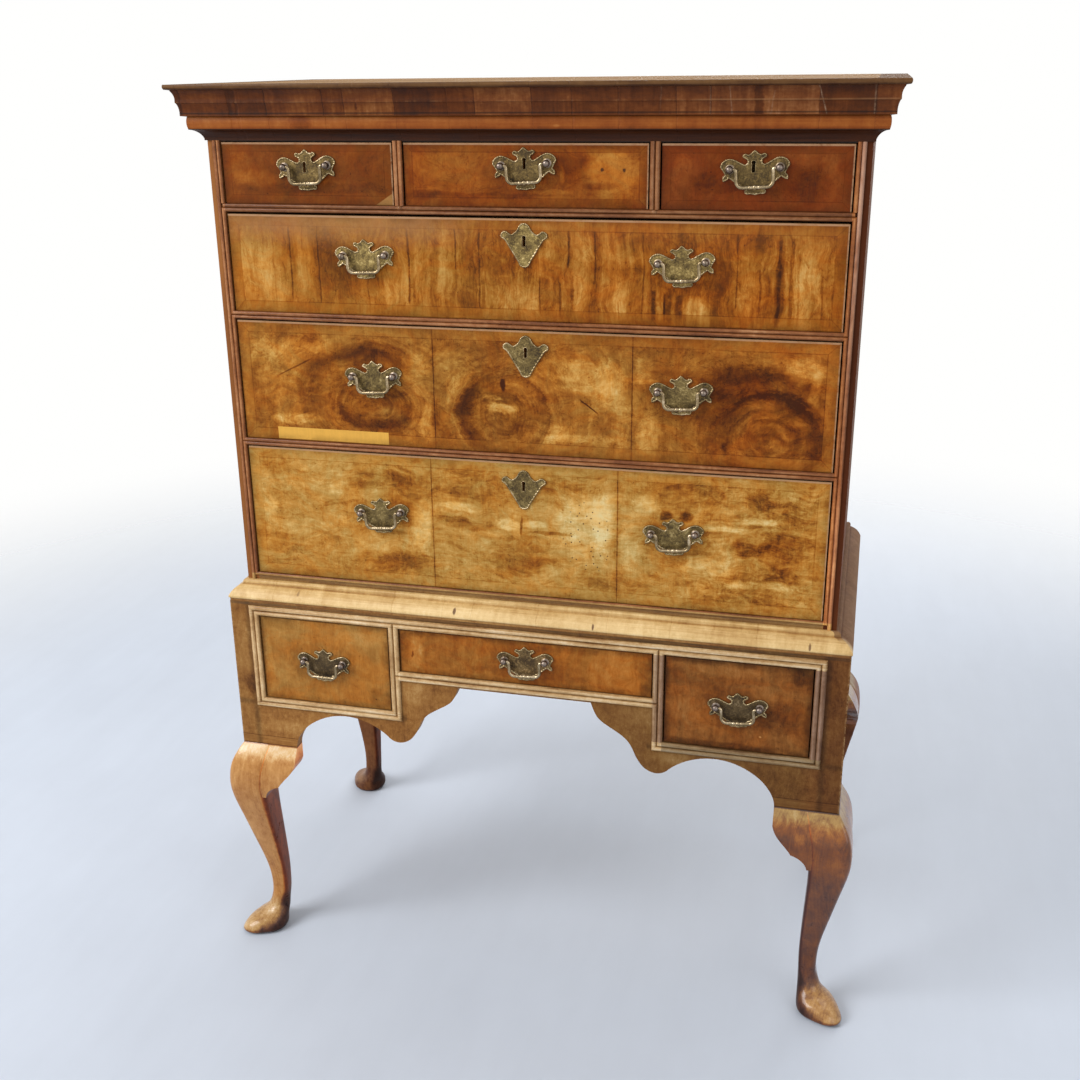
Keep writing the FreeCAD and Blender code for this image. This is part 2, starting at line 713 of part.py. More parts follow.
# waist moulding, seated on the top edge of the stand against the case
nose = standOver + waistFillet
waist = [
    ("at", (0, 0)), ("line", ((standOver - 0.6) / nose, 0)),
    ("line", ((standOver - 0.6) / nose, 0.11)), ("line", (0.985, 0.16)),
    ("arc", (1.0, 0.22), (0.96, 0.30)), ("arc", (0.70, 0.58), (0.27, 0.76)),
    ("line", (0.25, 0.80)), ("arc", (0.20, 0.97), (0.06, 1.0)),
    ("line", (0, 1.0)), ("line", (0, 0)),
]
add("waist_moulding", *mitred_runs(scaled_profile(waist, nose, waistHeight, standTop),
                                   caseHalf, 0, standBack))


# ---------------------------------------------------------------- brass
def half_outline(parts, width, up, down):
    made = []
    for part in parts:
        pts = [V(x * width, 0, z * (up if z >= 0 else down)) for x, z in part]
        made.append(curve(pts))
        made.append(curve([V(-p.x, 0, p.z) for p in pts]))
    return made


def plate_solid(x, face, z, parts, width, up, down, thk):
    solid = prism_xz(half_outline(parts, width, up, down), -thk, 0)
    solid.translate(V(x, face, z))
    return solid


# bat-wing back plate, right half from the top cusp to the foot
plateParts = [
    [(0, 1), (0.05, 0.94), (0.13, 0.80), (0.22, 0.78)],
    [(0.22, 0.78), (0.29, 0.82), (0.35, 0.72)],
    [(0.35, 0.72), (0.34, 0.62), (0.28, 0.54), (0.22, 0.45)],
    [(0.22, 0.45), (0.215, 0.32), (0.29, 0.22)],
    [(0.29, 0.22), (0.38, 0.30), (0.50, 0.43), (0.62, 0.54), (0.74, 0.58), (0.86, 0.52),
     (0.96, 0.36), (1.0, 0.16), (0.96, 0.0)],
    [(0.96, 0.0), (0.91, -0.11), (0.87, -0.21)],
    [(0.87, -0.21), (0.94, -0.32), (0.93, -0.46)],
    [(0.93, -0.46), (0.85, -0.43), (0.76, -0.34)],
    [(0.76, -0.34), (0.67, -0.42), (0.58, -0.52), (0.46, -0.64), (0.34, -0.73),
     (0.25, -0.78)],
    [(0.25, -0.78), (0.30, -0.82), (0.31, -0.89)],
    [(0.31, -0.89), (0.26, -0.96), (0.14, -0.965), (0.06, -0.985), (0, -1)],
]
# shield round a keyhole, right half: knob, shoulder, side lobe and pointed foot
shieldParts = [
    [(0, 1), (0.10, 0.96), (0.20, 0.84), (0.26, 0.68)],
    [(0.26, 0.68), (0.31, 0.52), (0.40, 0.36), (0.53, 0.22)],
    [(0.53, 0.22), (0.62, 0.27), (0.70, 0.36)],
    [(0.70, 0.36), (0.79, 0.44), (0.91, 0.40), (1.0, 0.22), (1.0, 0.04), (0.93, -0.03)],
    [(0.93, -0.03), (0.86, -0.07), (0.78, -0.15)],
    [(0.78, -0.15), (0.62, -0.36), (0.44, -0.59), (0.24, -0.86)],
    [(0.24, -0.86), (0.20, -0.93), (0.10, -0.985), (0, -1)],
]


def keyhole(x, y0, y1, z, grow=0.0):
    hole = cylinder(keyR + grow, V(x, y0, z), V(0, 1, 0), y1 - y0)
    slot = box(x - keySlotWidth / 2 - grow, x + keySlotWidth / 2 + grow, y0, y1,
               z - keySlotDrop - grow, z)
    return hole.fuse(slot)


def revolve_y(points, x, z):
    """Turned piece about the line through (x, z) along Y; points are (radius, y)."""
    outline = [V(r, y, 0) for r, y in points]
    face = polygon_face(outline)
    solid = face.revolve(V(0, 0, 0), V(0, 1, 0), 360)
    solid.translate(V(x, 0, z))
    return solid


def pull_post(x, face, z, wall):
    """Post with rosette, neck and ball; its shank goes through the plate and the front."""
    seat = face - plateThk
    pivot = face - pullStandoff
    turned = revolve_y([(0, seat), (postRosetteR, seat), (postRosetteR, seat - 1.2),
                        (postRosetteR - 2.2, seat - 2.4), (postNeckR, seat - 2.8),
                        (postNeckR, pivot), (0, pivot)], x, z)
    ball = Part.makeSphere(postBallR, V(x, pivot, z))
    shank = cylinder(shankR, V(x, seat - 0.5, z), V(0, 1, 0),
                     plateThk + 0.5 + wall + nutThk + 2)
    post = turned.fuse([ball, shank])
    hole = cylinder(bailPinR + bailPinClear, V(x - 20, pivot, z), V(1, 0, 0), 40)
    return post.cut(hole)


def pull_nut(x, face, z, wall):
    half = nutSize / 2
    nut = box(x - half, x + half, face + wall, face + wall + nutThk, z - half, z + half)
    return nut.cut(cylinder(shankR + 0.02, V(x, face, z), V(0, 1, 0), wall + nutThk + 5))


def build_bail():
    """Drop handle about the X axis: two pins, shoulders, rounded lower corners, turned bar."""
    elbow = bailR + 0.5
    reach = pullSpacing / 2 - postBallR - 0.5
    side_x = reach - elbow
    bend = bailBend
    half = side_x - bend
    small = 0.86 * bailBeadR
    gap = 1.75 * bailBeadR
    wide = math.sqrt(bailBeadR ** 2 - bailR ** 2)
    slim = math.sqrt(small ** 2 - bailR ** 2)

    def at(px, radius):
        return V(px, 0, radius - bailDrop)

    def line(p, q):
        return Part.LineSegment(at(*p), at(*q)).toShape()

    def arc(p, m, q):
        return Part.Arc(at(*p), at(*m), at(*q)).toShape()
    r = bailR
    turned = [line((-half, 0), (-half, r)), line((-half, r), (-gap - slim, r)),
              arc((-gap - slim, r), (-gap, small), (-gap + slim, r)),
              line((-gap + slim, r), (-wide, r)), arc((-wide, r), (0, bailBeadR), (wide, r)),
              line((wide, r), (gap - slim, r)),
              arc((gap - slim, r), (gap, small), (gap + slim, r)),
              line((gap + slim, r), (half, r)), line((half, r), (half, 0)),
              line((half, 0), (-half, 0))]
    bar = Part.Face(Part.Wire(turned)).revolve(V(0, 0, -bailDrop), V(1, 0, 0), 360)
    pieces = []
    for side in (-1, 1):
        ring = Part.Face(Part.Wire(Part.makeCircle(
            r, V(side * side_x, 0, bend - bailDrop), V(0, 0, 1))))
        lower = ring.revolve(V(side * half, 0, bend - bailDrop), V(0, side, 0), 90)
        ring = Part.Face(Part.Wire(Part.makeCircle(
            r, V(side * side_x, 0, -elbow), V(0, 0, 1))))
        upper = ring.revolve(V(side * reach, 0, -elbow), V(0, side, 0), 90)
        rod = cylinder(r, V(side * side_x, 0, bend - bailDrop), V(0, 0, 1),
                       bailDrop - bend - elbow)
        pin = cylinder(bailPinR, V(side * reach, 0, 0), V(side, 0, 0), 1.4 * postBallR)
        pieces += [lower, rod, upper, pin]
    return bar.fuse(pieces)


bail = build_bail()


def pull_bail(x, face, z):
    placed = bail.copy()
    placed.translate(V(x, face - pullStandoff, z))
    return placed


# ---------------------------------------------------------------- drawers
def tilted(shape, x, z, degrees):
    """Turned in the plane of the drawer front, positive raising the right-hand side."""
    out = shape.copy()
    out.rotate(V(x, 0, z), V(0, 1, 0), -degrees)
    return out


def drawer(name, row, x0, x1, base, height, front, back, pulls, rise_z, key=None,
           shield=False):
    """One drawer: front, box, brasses and bails. key is the keyhole's height."""
    lo, hi = x0 + drawerSideGap, x1 - drawerSideGap
    bottom, top = base + slideGap, base + height - drawerTopGap[row]
    inside = front + drawerFrontThk
    face = box(lo, hi, front, inside, bottom, top)
    side_top = top - 2
    end = back - drawerBackClear
    panel = bottom + bottomRise
    add(name + "_box",
        box(lo, lo + drawerSideThk, inside, end, bottom, side_top),
        box(hi - drawerSideThk, hi, inside, end, bottom, side_top),
        box(lo + drawerSideThk, hi - drawerSideThk, inside, end, panel,
            panel + drawerBottomThk),
        box(lo + drawerSideThk, hi - drawerSideThk, end - drawerBackThk, end,
            panel + drawerBottomThk, side_top - 6))
    brass = name + "_brass"
    for i, (place, fit) in enumerate(zip(pulls, pullFits[name])):
        px = place + fit[0]
        z = base + height / 2 + rise_z + fit[1]
        turn = fit[2]
        plate = plate_solid(px, front, z, plateParts, plateHalfWidth, plateUp, plateDown,
                            plateThk)
        posts = []
        for side in (-1, 1):
            cx = px + side * pullSpacing / 2
            through = cylinder(shankR + shankClear, V(cx, front - 5, z), V(0, 1, 0),
                               drawerFrontThk + 10)
            face = face.cut(tilted(through, px, z, turn))
            plate = plate.cut(through)
            posts += [pull_post(cx, front, z, drawerFrontThk),
                      pull_nut(cx, front, z, drawerFrontThk)]
        plate = tilted(plate, px, z, turn)
        if key is not None and not shield:
            hole_x = (x0 + x1) / 2 + keySide[name]
            plate = plate.cut(keyhole(hole_x, front - 5, front + 5, key))
        add(brass, plate, *[tilted(post, px, z, turn) for post in posts])
        tag = "" if len(pulls) == 1 else ("_left", "_right")[i]
        add(name + "_bail" + tag, tilted(pull_bail(px, front, z), px, z, turn))
    if key is not None:
        middle = (x0 + x1) / 2 + keySide[name]
        face = face.cut(keyhole(middle, front - 1, inside + 1, key, 0.6))
        if shield:
            guard = plate_solid(middle, front, key, shieldParts, shieldHalfWidth, shieldUp,
                                shieldDown, shieldThk)
            add(brass, guard.cut(keyhole(middle, front - 5, front + 5, key)))
        half = boltWidth / 2
        lock = box(middle - lockWidth / 2, middle + lockWidth / 2, inside,
                   inside + lockThk, top - lockHeight, top)
        lock = lock.cut(keyhole(middle, inside - 1, inside + 1.5, key))
        y0, y1 = front + boltY0, front + boltY1
        slot = box(middle - half - boltClear, middle + half + boltClear, y0 - boltClear,
                   y1 + boltClear, top - boltHeight - 1, top + 1)
        add(brass, lock.cut(slot))
        add(name + "_bolt", box(middle - half, middle + half, y0, y1,
                                top - 0.4 - boltHeight, top - 0.4))
    add(name + "_front", face)


for key, (x0, x1) in topSpans.items():
    base = rowBase["top"]
    pull_z = base + topRowHeight / 2 + pullRiseTop
    drawer("drawer_top_" + key, "top", x0, x1, base, topRowHeight, 0, caseInnerBack,
           [(x0 + x1) / 2], pullRiseTop, key=pull_z + keyRise[key])
    add("case_rails", *stops(x0, x1, base, 0, railDepth))
for row in ("upper", "middle", "lower"):
    base, height = rowBase[row], rowHeight[row]
    drawer("drawer_" + row, row, -halfOpening, halfOpening, base, height, 0, caseInnerBack,
           [-pullX, pullX], pullRiseLong, key=base + height - keyDrop[row], shield=True)
    add("case_rails", *stops(-halfOpening, halfOpening, base, 0, railDepth))
for key, (x0, x1, z0, z1) in standOpenings.items():
    lift = pullRiseMiddle if key == "middle" else pullRiseSide
    drawer("drawer_stand_" + key, "stand", x0, x1, z0, z1 - z0, standFront,
           standInnerBack, [(x0 + x1) / 2], lift)

# ---------------------------------------------------------------- output
for name in sorted(nodes):
    shapes = nodes[name]
    group = shapes[0] if len(shapes) == 1 else Part.makeCompound(shapes)
    group.translate(V(0, yShift, 0))
    group.exportStep("parts/%s.step" % name)
    solids = group.Solids
    size = group.BoundBox
    print("%-28s %2d solids %s  x %.1f..%.1f y %.1f..%.1f z %.1f..%.1f" % (
        name, len(solids), all(s.isValid() for s in solids), size.XMin, size.XMax,
        size.YMin, size.YMax, size.ZMin, size.ZMax))
print("nodes", len(nodes), "y shift %.3f" % yShift)
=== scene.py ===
import math

import bmesh
import bpy
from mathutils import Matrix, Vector


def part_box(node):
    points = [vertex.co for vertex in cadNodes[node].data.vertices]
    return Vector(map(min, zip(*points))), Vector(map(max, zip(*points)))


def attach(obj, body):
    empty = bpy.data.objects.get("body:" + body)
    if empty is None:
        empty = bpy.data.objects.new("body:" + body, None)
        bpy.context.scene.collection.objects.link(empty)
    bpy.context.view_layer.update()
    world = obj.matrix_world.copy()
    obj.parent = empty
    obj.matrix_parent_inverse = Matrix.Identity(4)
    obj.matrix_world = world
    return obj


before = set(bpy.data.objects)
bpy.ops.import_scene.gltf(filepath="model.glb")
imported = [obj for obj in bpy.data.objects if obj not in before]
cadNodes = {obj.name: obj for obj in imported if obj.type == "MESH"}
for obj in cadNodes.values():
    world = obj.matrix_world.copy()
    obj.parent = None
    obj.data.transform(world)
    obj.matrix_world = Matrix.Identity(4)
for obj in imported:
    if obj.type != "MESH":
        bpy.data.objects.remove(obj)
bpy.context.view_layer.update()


# a number that changes over a surface; sums written with it become Math nodes
class Num:
    def __init__(self, finish, socket):
        self.finish = finish
        self.socket = socket

    def __abs__(self):
        return self.finish.maths("ABSOLUTE", self)

    def overload(operation, turned=False):
        def method(self, other):
            pair = (other, self) if turned else (self, other)
            return self.finish.maths(operation, *pair)
        return method

    __add__ = __radd__ = overload("ADD")
    __mul__ = __rmul__ = overload("MULTIPLY")
    __sub__, __rsub__ = overload("SUBTRACT"), overload("SUBTRACT", True)
    __truediv__, __rtruediv__ = overload("DIVIDE"), overload("DIVIDE", True)
    __lt__, __gt__ = overload("LESS_THAN"), overload("GREATER_THAN")


# a node tree, and the way nodes are added to it
class Tree:
    def __init__(self, tree):
        self.tree = tree
        tree.nodes.clear()

    # a node by its type: settings first, then values or links for its sockets
    def node(self, kind, settings, values):
        made = self.tree.nodes.new("ShaderNode" + kind)
        for name, setting in settings.items():
            if name == "stops":
                ramp = made.color_ramp
                ramp.elements.remove(ramp.elements[1])
                ramp.elements[0].position = setting[0][0]
                ramp.elements[0].color = (*setting[0][1], 1)
                for at, colour in setting[1:]:
                    ramp.elements.new(at).color = (*colour, 1)
            else:
                setattr(made, name, setting)
        for name, value in values.items():
            self.feed(made.inputs[name], value)
        return made

    def vector(self, x, y, z):
        return self.node("CombineXYZ", {}, {0: x, 1: y, 2: z}).outputs[0]

    def feed(self, socket, value):
        if isinstance(value, tuple) and any(isinstance(v, Num) for v in value):
            value = self.vector(*value)
        elif isinstance(value, Num):
            value = value.socket
        if isinstance(value, bpy.types.NodeSocket):
            self.tree.links.new(value, socket)
        elif socket.type == "RGBA" and len(value) == 3:
            socket.default_value = (*value, 1)
        else:
            socket.default_value = value

    def maths(self, operation, *values):
        made = self.node("Math", {"operation": operation}, dict(enumerate(values)))
        return Num(self, made.outputs[0])


# one material with a Principled surface, and the few tools the finishes are made with
class Finish(Tree):
    def __init__(self, name, specular, coatRough=0.03):
        self.material = bpy.data.materials.new(name)
        self.material.use_nodes = True
        super().__init__(self.material.node_tree)
        self.surface = self.node("BsdfPrincipled", {}, {"Specular IOR Level": specular,
                                                        "Coat Roughness": coatRough})
        self.output = self.node("OutputMaterial", {}, {"Surface": self.surface.outputs[0]})
        coords = self.node("TexCoord", {}, {})
        self.place = coords.outputs["Object"]
        self.x, self.y, self.z = self.split(self.place)
        self.facing = coords.outputs["Normal"]

    def show(self, name, value):
        self.feed(self.surface.inputs[name], value)

    def vectors(self, operation, *values):
        return self.node("VectorMath", {"operation": operation}, dict(enumerate(values)))

    def split(self, vector):
        return [Num(self, s) for s in self.node("SeparateXYZ", {}, {0: vector}).outputs]

    def length(self, vector):
        return Num(self, self.vectors("LENGTH", vector).outputs["Value"])

    # the place, drawn out by its own amount along each axis
    def at(self, across, deep, up):
        return self.vectors("MULTIPLY", self.place, (across, deep, up)).outputs[0]

    def noise(self, place, detail=2, rough=0.5, bend=0):
        made = self.node("TexNoise", {}, {"Vector": place, "Scale": 1, "Detail": detail,
                                          "Roughness": rough, "Distortion": bend})
        return Num(self, made.outputs[0])

    # noise about nought, mostly between -1 and 1
    def swing(self, place, detail=3, rough=0.6, bend=0):
        return (self.noise(place, detail, rough, bend) - 0.5) * 4

    # swing over the front plane, with its own cycles per metre across and up
    def cloud(self, across, own, up, *rest):
        return self.swing((self.x * across, own, self.z * up), *rest)

    def chance(self, place):
        return Num(self, self.node("TexWhiteNoise", {}, {"Vector": place}).outputs[0])

    # value taken smoothly from one range to another
    def span(self, value, lo, hi, start=0, end=1):
        made = self.node("MapRange", {"interpolation_type": "SMOOTHSTEP"},
                         {0: value, 1: lo, 2: hi, 3: start, 4: end})
        return Num(self, made.outputs[0])

    def pick(self, mask, off, on):
        made = self.node("Mix", {"data_type": "FLOAT"}, {0: mask, 2: off, 3: on})
        return Num(self, made.outputs[0])

    def colours(self, mask, off, on, way="MIX"):
        made = self.node("Mix", {"data_type": "RGBA", "blend_type": way},
                         {0: mask, 6: off, 7: on})
        return made.outputs[2]

    # changes to the colour so far, where the mask is 1
    def paint(self, mask, colour):
        self.colour = self.colours(mask, self.colour, colour)

    def tint(self, mask, tint):
        self.colour = self.colours(mask, self.colour, tint, "MULTIPLY")

    def shade(self, amount):
        self.colour = self.scaled(self.colour, amount)

    # each stop is a tone in hundredths, then red, green and blue in thousandths
    def ramp(self, value, stops):
        made = [(at / 100, [c / 1000 for c in colour]) for at, *colour in stops]
        return self.node("ValToRGB", {"stops": made}, {0: value}).outputs[0]

    def scaled(self, colour, amount):
        made = self.node("VectorMath", {"operation": "SCALE"}, {0: colour, "Scale": amount})
        return made.outputs[0]

    def relief(self, height, depth, strength):
        made = self.node("Bump", {}, {"Strength": strength, "Distance": depth, "Height": height})
        self.show("Normal", made.outputs[0])

    # distance from a spot in its own radii, 1 at its edge; sizes in millimetres
    def spot(self, flat, x, z, rx, rz):
        moved = self.vectors("MULTIPLY_ADD", flat, (1000 / rx, 0, 1000 / rz),
                             (-x / rx, 0, -z / rz))
        return self.length(moved.outputs[0])

    # sum of ragged spots: x, z, half width, half height in millimetres, amount in hundredths
    def stains(self, flat, spots, ragged):
        total, soft = 0, 0.38
        for *spot, amount in spots:
            away = self.spot(flat, *spot) + ragged
            total = self.span(away, 1 + soft, 1 - soft, 0, amount / 100) + total
        return total

    # the finished colour with its roughness and coat, laid on its pieces
    def dress(self, names, rough, coat=0):
        self.show("Base Color", self.colour)
        self.show("Roughness", rough)
        self.show("Coat Weight", coat)
        for name in names:
            slots = cadNodes[name].data.materials
            if not slots:
                slots.append(self.material)
            for n in range(len(slots)):
                slots[n] = self.material


# pores, growth lines and slow drift of tone, drawn out along the grain
def grain(f, along, across, seed, coarse):
    lines = f.noise((along * (4 / coarse), across * (95 / coarse), seed), 4, 0.6)
    pores = f.noise((along * 60, across * 1500, seed + 7), 1, 0.5)
    drift = f.noise((along * (1.6 / coarse), across * (9 / coarse), seed + 3), 2, 0.5)
    return lines, pores, drift


# drawer fronts: places and sizes are millimetres; tones run from 0, darkest figure, to 1, palest
# layers: noise cycles per metre across and up, detail, roughness, bend, amount
frontLook = {
    "drawer_top_left": {
        "seed": 1.3, "banding": 13, "bandTone": 0.46, "bandMix": 0.35, "pulls": ((-338.5, 1395),),
        "layers": ((12, 17, 4, 0.68, 1.2, 0.13), (55, 24, 4, 0.72, 0.8, 0.08),
            (90, 80, 3, 0.7, 0.8, 0.09)), "veins": ((15, 26, 0.1, 0.08),),
        "stops": ((0, 37, 9, 2), (25, 100, 24, 2), (40, 148, 36, 3), (50, 182, 46, 4), (61, 220, 63, 7),
            (77, 285, 98, 14), (100, 380, 165, 38)), "stains": ((-330, 1374, 120, 9, -16),
            (-448, 1408, 20, 26, 12), (-420, 1388, 36, 12, 14), (-290, 1378, 40, 10, 10),
            (-232, 1400, 26, 30, -8)), "chip": (-201, 1355, 19, 11)},
    "drawer_top_middle": {
        "seed": 4.1, "banding": 13, "bandTone": 0.38, "bandMix": 0.4, "pulls": ((7, 1398),),
        "layers": ((12, 16, 4, 0.68, 1.4, 0.09), (48, 28, 4, 0.72, 0.9, 0.07),
            (90, 80, 3, 0.7, 0.8, 0.08)), "veins": ((13, 20, 0.1, 0.09),),
        "stops": ((0, 45, 10, 2), (25, 110, 23, 2), (40, 182, 42, 3), (50, 242, 65, 6),
            (61, 312, 95, 10), (77, 420, 155, 21), (100, 550, 250, 46)),
        "stains": ((140, 1398, 38, 30, 26), (112, 1425, 50, 6, 10), (-150, 1366, 30, 7, -18),
            (40, 1370, 30, 4, 16), (20, 1378, 30, 4, 12), (-60, 1366, 100, 4, -12),
            (78, 1414, 26, 16, -17), (-128, 1410, 42, 22, 10), (60, 1398, 4, 14, 16),
            (118, 1380, 26, 5, -16), (-70, 1385, 30, 10, 10)),
        "pins": ((122.9, 1403.7, 2.6), (156.5, 1404, 2.6))},
    "drawer_top_right": {
        "seed": 7.7, "banding": 13, "bandTone": 0.44, "bandMix": 0.35, "pulls": ((342, 1396),),
        "layers": ((14, 19, 4, 0.68, 1.2, 0.1), (58, 22, 4, 0.72, 0.8, 0.07),
            (90, 80, 3, 0.7, 0.8, 0.08)), "veins": ((17, 24, 0.1, 0.08),),
        "stops": ((0, 33, 7, 2), (25, 88, 16, 2), (40, 138, 27, 2), (50, 172, 35, 4), (61, 214, 48, 6),
            (77, 290, 78, 12), (100, 420, 150, 34)), "stains": ((300, 1380, 60, 8, -12),
            (445, 1394, 16, 32, 10), (238, 1405, 12, 26, 14), (395, 1421, 60, 8, 8),
            (420, 1385, 26, 22, -16), (270, 1392, 20, 10, -14))},
    "drawer_upper": {
        "seed": 2.9, "banding": 17, "bandTone": 0.5, "bandMix": 0.5,
        "pulls": ((-251, 1260), (243, 1260)), "faded": (1.275, 1.322, -300, 190, 0.62),
        "lively": (-0.4, 0.1, 0.72, 1.2), "layers": ((24, 2.8, 3, 0.66, 0.5, 0.15),
            (90, 9, 4, 0.78, 0.5, 0.15), (300, 22, 2, 0.6, 0, 0.04), (80, 66, 3, 0.72, 0.8, 0.13),
            (8, 12, 3, 0.6, 0.6, 0.1)), "veins": ((22, 9, 0.08, 0.12),),
        "warmer": (-0.25, 0.2, (1, 0.87, 0.72)), "stops": ((0, 45, 12, 2), (25, 140, 40, 3),
            (40, 246, 77, 6), (50, 320, 114, 11), (61, 395, 163, 24), (77, 510, 255, 56),
            (100, 650, 410, 140)), "stains": ((-430, 1240, 60, 70, 10), (-440, 1240, 30, 60, 12),
            (-405, 1240, 22, 60, 10), (-384, 1262, 14, 44, -11), (-352, 1255, 14, 50, 14),
            (-300, 1262, 30, 50, -13), (-205, 1240, 26, 40, 14), (-158, 1255, 18, 60, 12),
            (-120, 1255, 12, 60, 16), (-84, 1240, 14, 50, -11), (-20, 1215, 26, 22, 14),
            (14, 1210, 12, 26, 22), (48, 1225, 14, 40, -11), (92, 1250, 16, 60, 18),
            (134, 1250, 16, 60, 8), (155, 1216, 12, 26, 20), (225, 1208, 5, 24, -30),
            (262, 1208, 18, 14, 26), (290, 1262, 26, 50, -8), (345, 1240, 16, 50, 12),
            (384, 1240, 7, 60, -22), (425, 1230, 18, 50, 20), (300, 1305, 120, 12, -8)),
        # straight dark lines: x, half width, lowest, highest, amount in hundredths
        "lines": ((-405, 0.8, 1190, 1318, 12), (-377, 1, 1200, 1318, 34), (-329, 0.7, 1195, 1316, 30),
            (-249, 0.8, 1186, 1240, 20), (-180, 1.5, 1200, 1318, 40), (-172, 2.2, 1200, 1240, 25),
            (-104, 0.8, 1255, 1318, 38), (-66, 1.1, 1200, 1314, 34), (-60, 2.4, 1196, 1240, 25),
            (29, 0.9, 1190, 1250, 40), (60, 1.6, 1192, 1240, 34), (72, 1.3, 1262, 1316, 42),
            (78, 2.6, 1190, 1255, 30), (113, 0.7, 1240, 1318, 36), (150, 0.9, 1187, 1215, 30),
            (186, 0.8, 1190, 1318, 22), (203, 4.2, 1187, 1236, 50), (219, 1.2, 1187, 1230, 40),
            (240, 6, 1187, 1230, 42), (324, 0.9, 1210, 1318, 30), (357, 1.1, 1200, 1270, 28),
            (383, 2.6, 1186, 1316, 26), (401, 2.8, 1186, 1316, 30), (412, 1.2, 1200, 1290, 22),
            (446, 1.5, 1190, 1260, 24))},
    "drawer_middle": {
        "seed": 5.2, "banding": 18, "bandTone": 0.54, "bandMix": 0.5,
        "pulls": ((-247, 1070), (247, 1070)), "layers": ((8, 12, 4, 0.66, 1.1, 0.15),
            (76, 70, 3, 0.72, 0.9, 0.09), (240, 22, 2, 0.6, 0, 0.03), (22, 34, 4, 0.7, 1.6, 0.14)),
        "veins": ((16, 26, 0.09, 0.12),), "warmer": (0.16, 0.34, (1, 0.86, 0.72)),
        "stops": ((0, 50, 12, 2), (20, 120, 31, 3), (38, 215, 66, 6), (50, 305, 108, 13),
            (62, 405, 163, 23), (80, 560, 285, 62), (100, 700, 440, 150)),
        # growth rings about one eye in each leaf: x, z, half width, half height
        "rings": ((-250, 1036, 58, 42), (-32, 1030, 60, 62), (380, 1012, 76, 66)),
        # dark arcs: centre, radii, heading of the dark side, half thickness, amount
        "arcs": ((-250, 1038, 56, 36, -0.3, -1, 0.34, 0.31), (-250, 1038, 58, 38, 1, 0.1, 0.2, 0.19),
            (-250, 1040, 60, 38, -1, 0.3, 0.14, 0.18), (-262, 1076, 88, 44, -0.1, 1, 0.42, 0.24),
            (-30, 1030, 64, 64, -1, 0.1, 0.3, 0.38), (-28, 1032, 68, 62, 0.8, 0.5, 0.09, 0.22),
            (-30, 1026, 60, 58, 0.5, -0.9, 0.3, 0.21), (-32, 1040, 34, 20, 0, 1, 0.16, 0.16),
            (380, 1012, 74, 64, 1, 0.3, 0.26, 0.28), (378, 1016, 76, 66, -0.2, 1, 0.16, 0.22),
            (378, 1008, 60, 50, -1, 0.2, 0.12, 0.16), (380, 1008, 44, 34, 0.3, 1, 0.16, 0.18),
            (382, 1004, 26, 18, 0.2, 1, 0.24, 0.15), (372, 1030, 104, 84, 0.3, 1, 0.2, 0.16)),
        "stains": ((105, 1050, 76, 66, 10), (-180, 1060, 34, 66, 8), (350, 1050, 110, 80, -6),
            (-400, 1125, 50, 14, 14), (-383, 1006, 42, 9, 30), (-430, 1060, 26, 60, 8),
            (-340, 1060, 40, 30, -6), (-271, 1112, 42, 18, -11), (-222, 1050, 26, 16, -12),
            (-160, 1010, 12, 34, 22), (-175, 1100, 20, 30, 10), (-32, 1080, 4, 10, -60),
            (-34, 1042, 22, 8, 34), (-46, 1058, 14, 4, 26), (-20, 1012, 34, 14, -10),
            (-110, 1100, 26, 30, 14), (60, 1108, 50, 16, 18), (95, 1088, 14, 16, 16),
            (140, 1092, 22, 32, 18), (70, 1046, 50, 30, -10), (40, 1006, 24, 16, 20),
            (95, 1000, 60, 7, 16), (130, 1020, 24, 18, -6), (200, 1010, 18, 36, 20),
            (190, 1110, 12, 24, 16), (232, 1104, 36, 12, -10), (338, 1098, 60, 26, -19),
            (300, 1062, 36, 30, -12), (410, 1070, 20, 24, -14), (428, 1120, 26, 18, 30),
            (444, 1090, 8, 30, 14), (436, 1005, 26, 30, -6)),
        "slashes": ((104, 1051, 26, 1.3, -0.75, 0.5), (10, 1112, 30, 1, 0.35, 0.3),
            (-384, 1092, 44, 1.4, 0.5, 0.3)), "joints": (-146.6, 172), "repair": (-421, -227, 971, 991),
        "strip": (0.7, 0.375, 0.068)},
    "drawer_lower": {
        "seed": 8.4, "banding": 18, "bandTone": 0.54, "bandMix": 0.35,
        "pulls": ((-246, 846), (241, 843)), "layers": ((7, 11, 4, 0.68, 1, 0.14),
            (13, 62, 4, 0.74, 1, 0.18), (130, 9, 3, 0.66, 0.3, 0.06), (66, 84, 3, 0.72, 0.7, 0.15),
            (36, 44, 4, 0.74, 1.1, 0.1)), "veins": ((11, 24, 0.08, 0.09),),
        "warmer": (0.2, 0.42, (1, 0.9, 0.76)), "lively": (0.22, 0.32, 1, 1.45),
        "stops": ((0, 80, 23, 3), (20, 215, 70, 7), (38, 355, 146, 19), (50, 438, 213, 39),
            (62, 505, 270, 63), (80, 635, 395, 125), (100, 750, 540, 230)),
        "stains": ((-440, 930, 40, 20, -8), (-452, 870, 16, 50, 14), (-330, 840, 120, 80, 8),
            (100, 850, 110, 90, 8), (-247, 905, 50, 16, -16), (-205, 768, 56, 16, -16),
            (-250, 800, 40, 18, 10), (-175, 835, 18, 36, 26), (-300, 850, 70, 20, -6),
            (-80, 908, 50, 20, -8), (-108, 872, 30, 7, 30), (-120, 850, 26, 5, -24),
            (-88, 842, 40, 7, -20), (-10, 790, 50, 26, -20), (-30, 848, 22, 9, 32), (14, 852, 18, 7, 26),
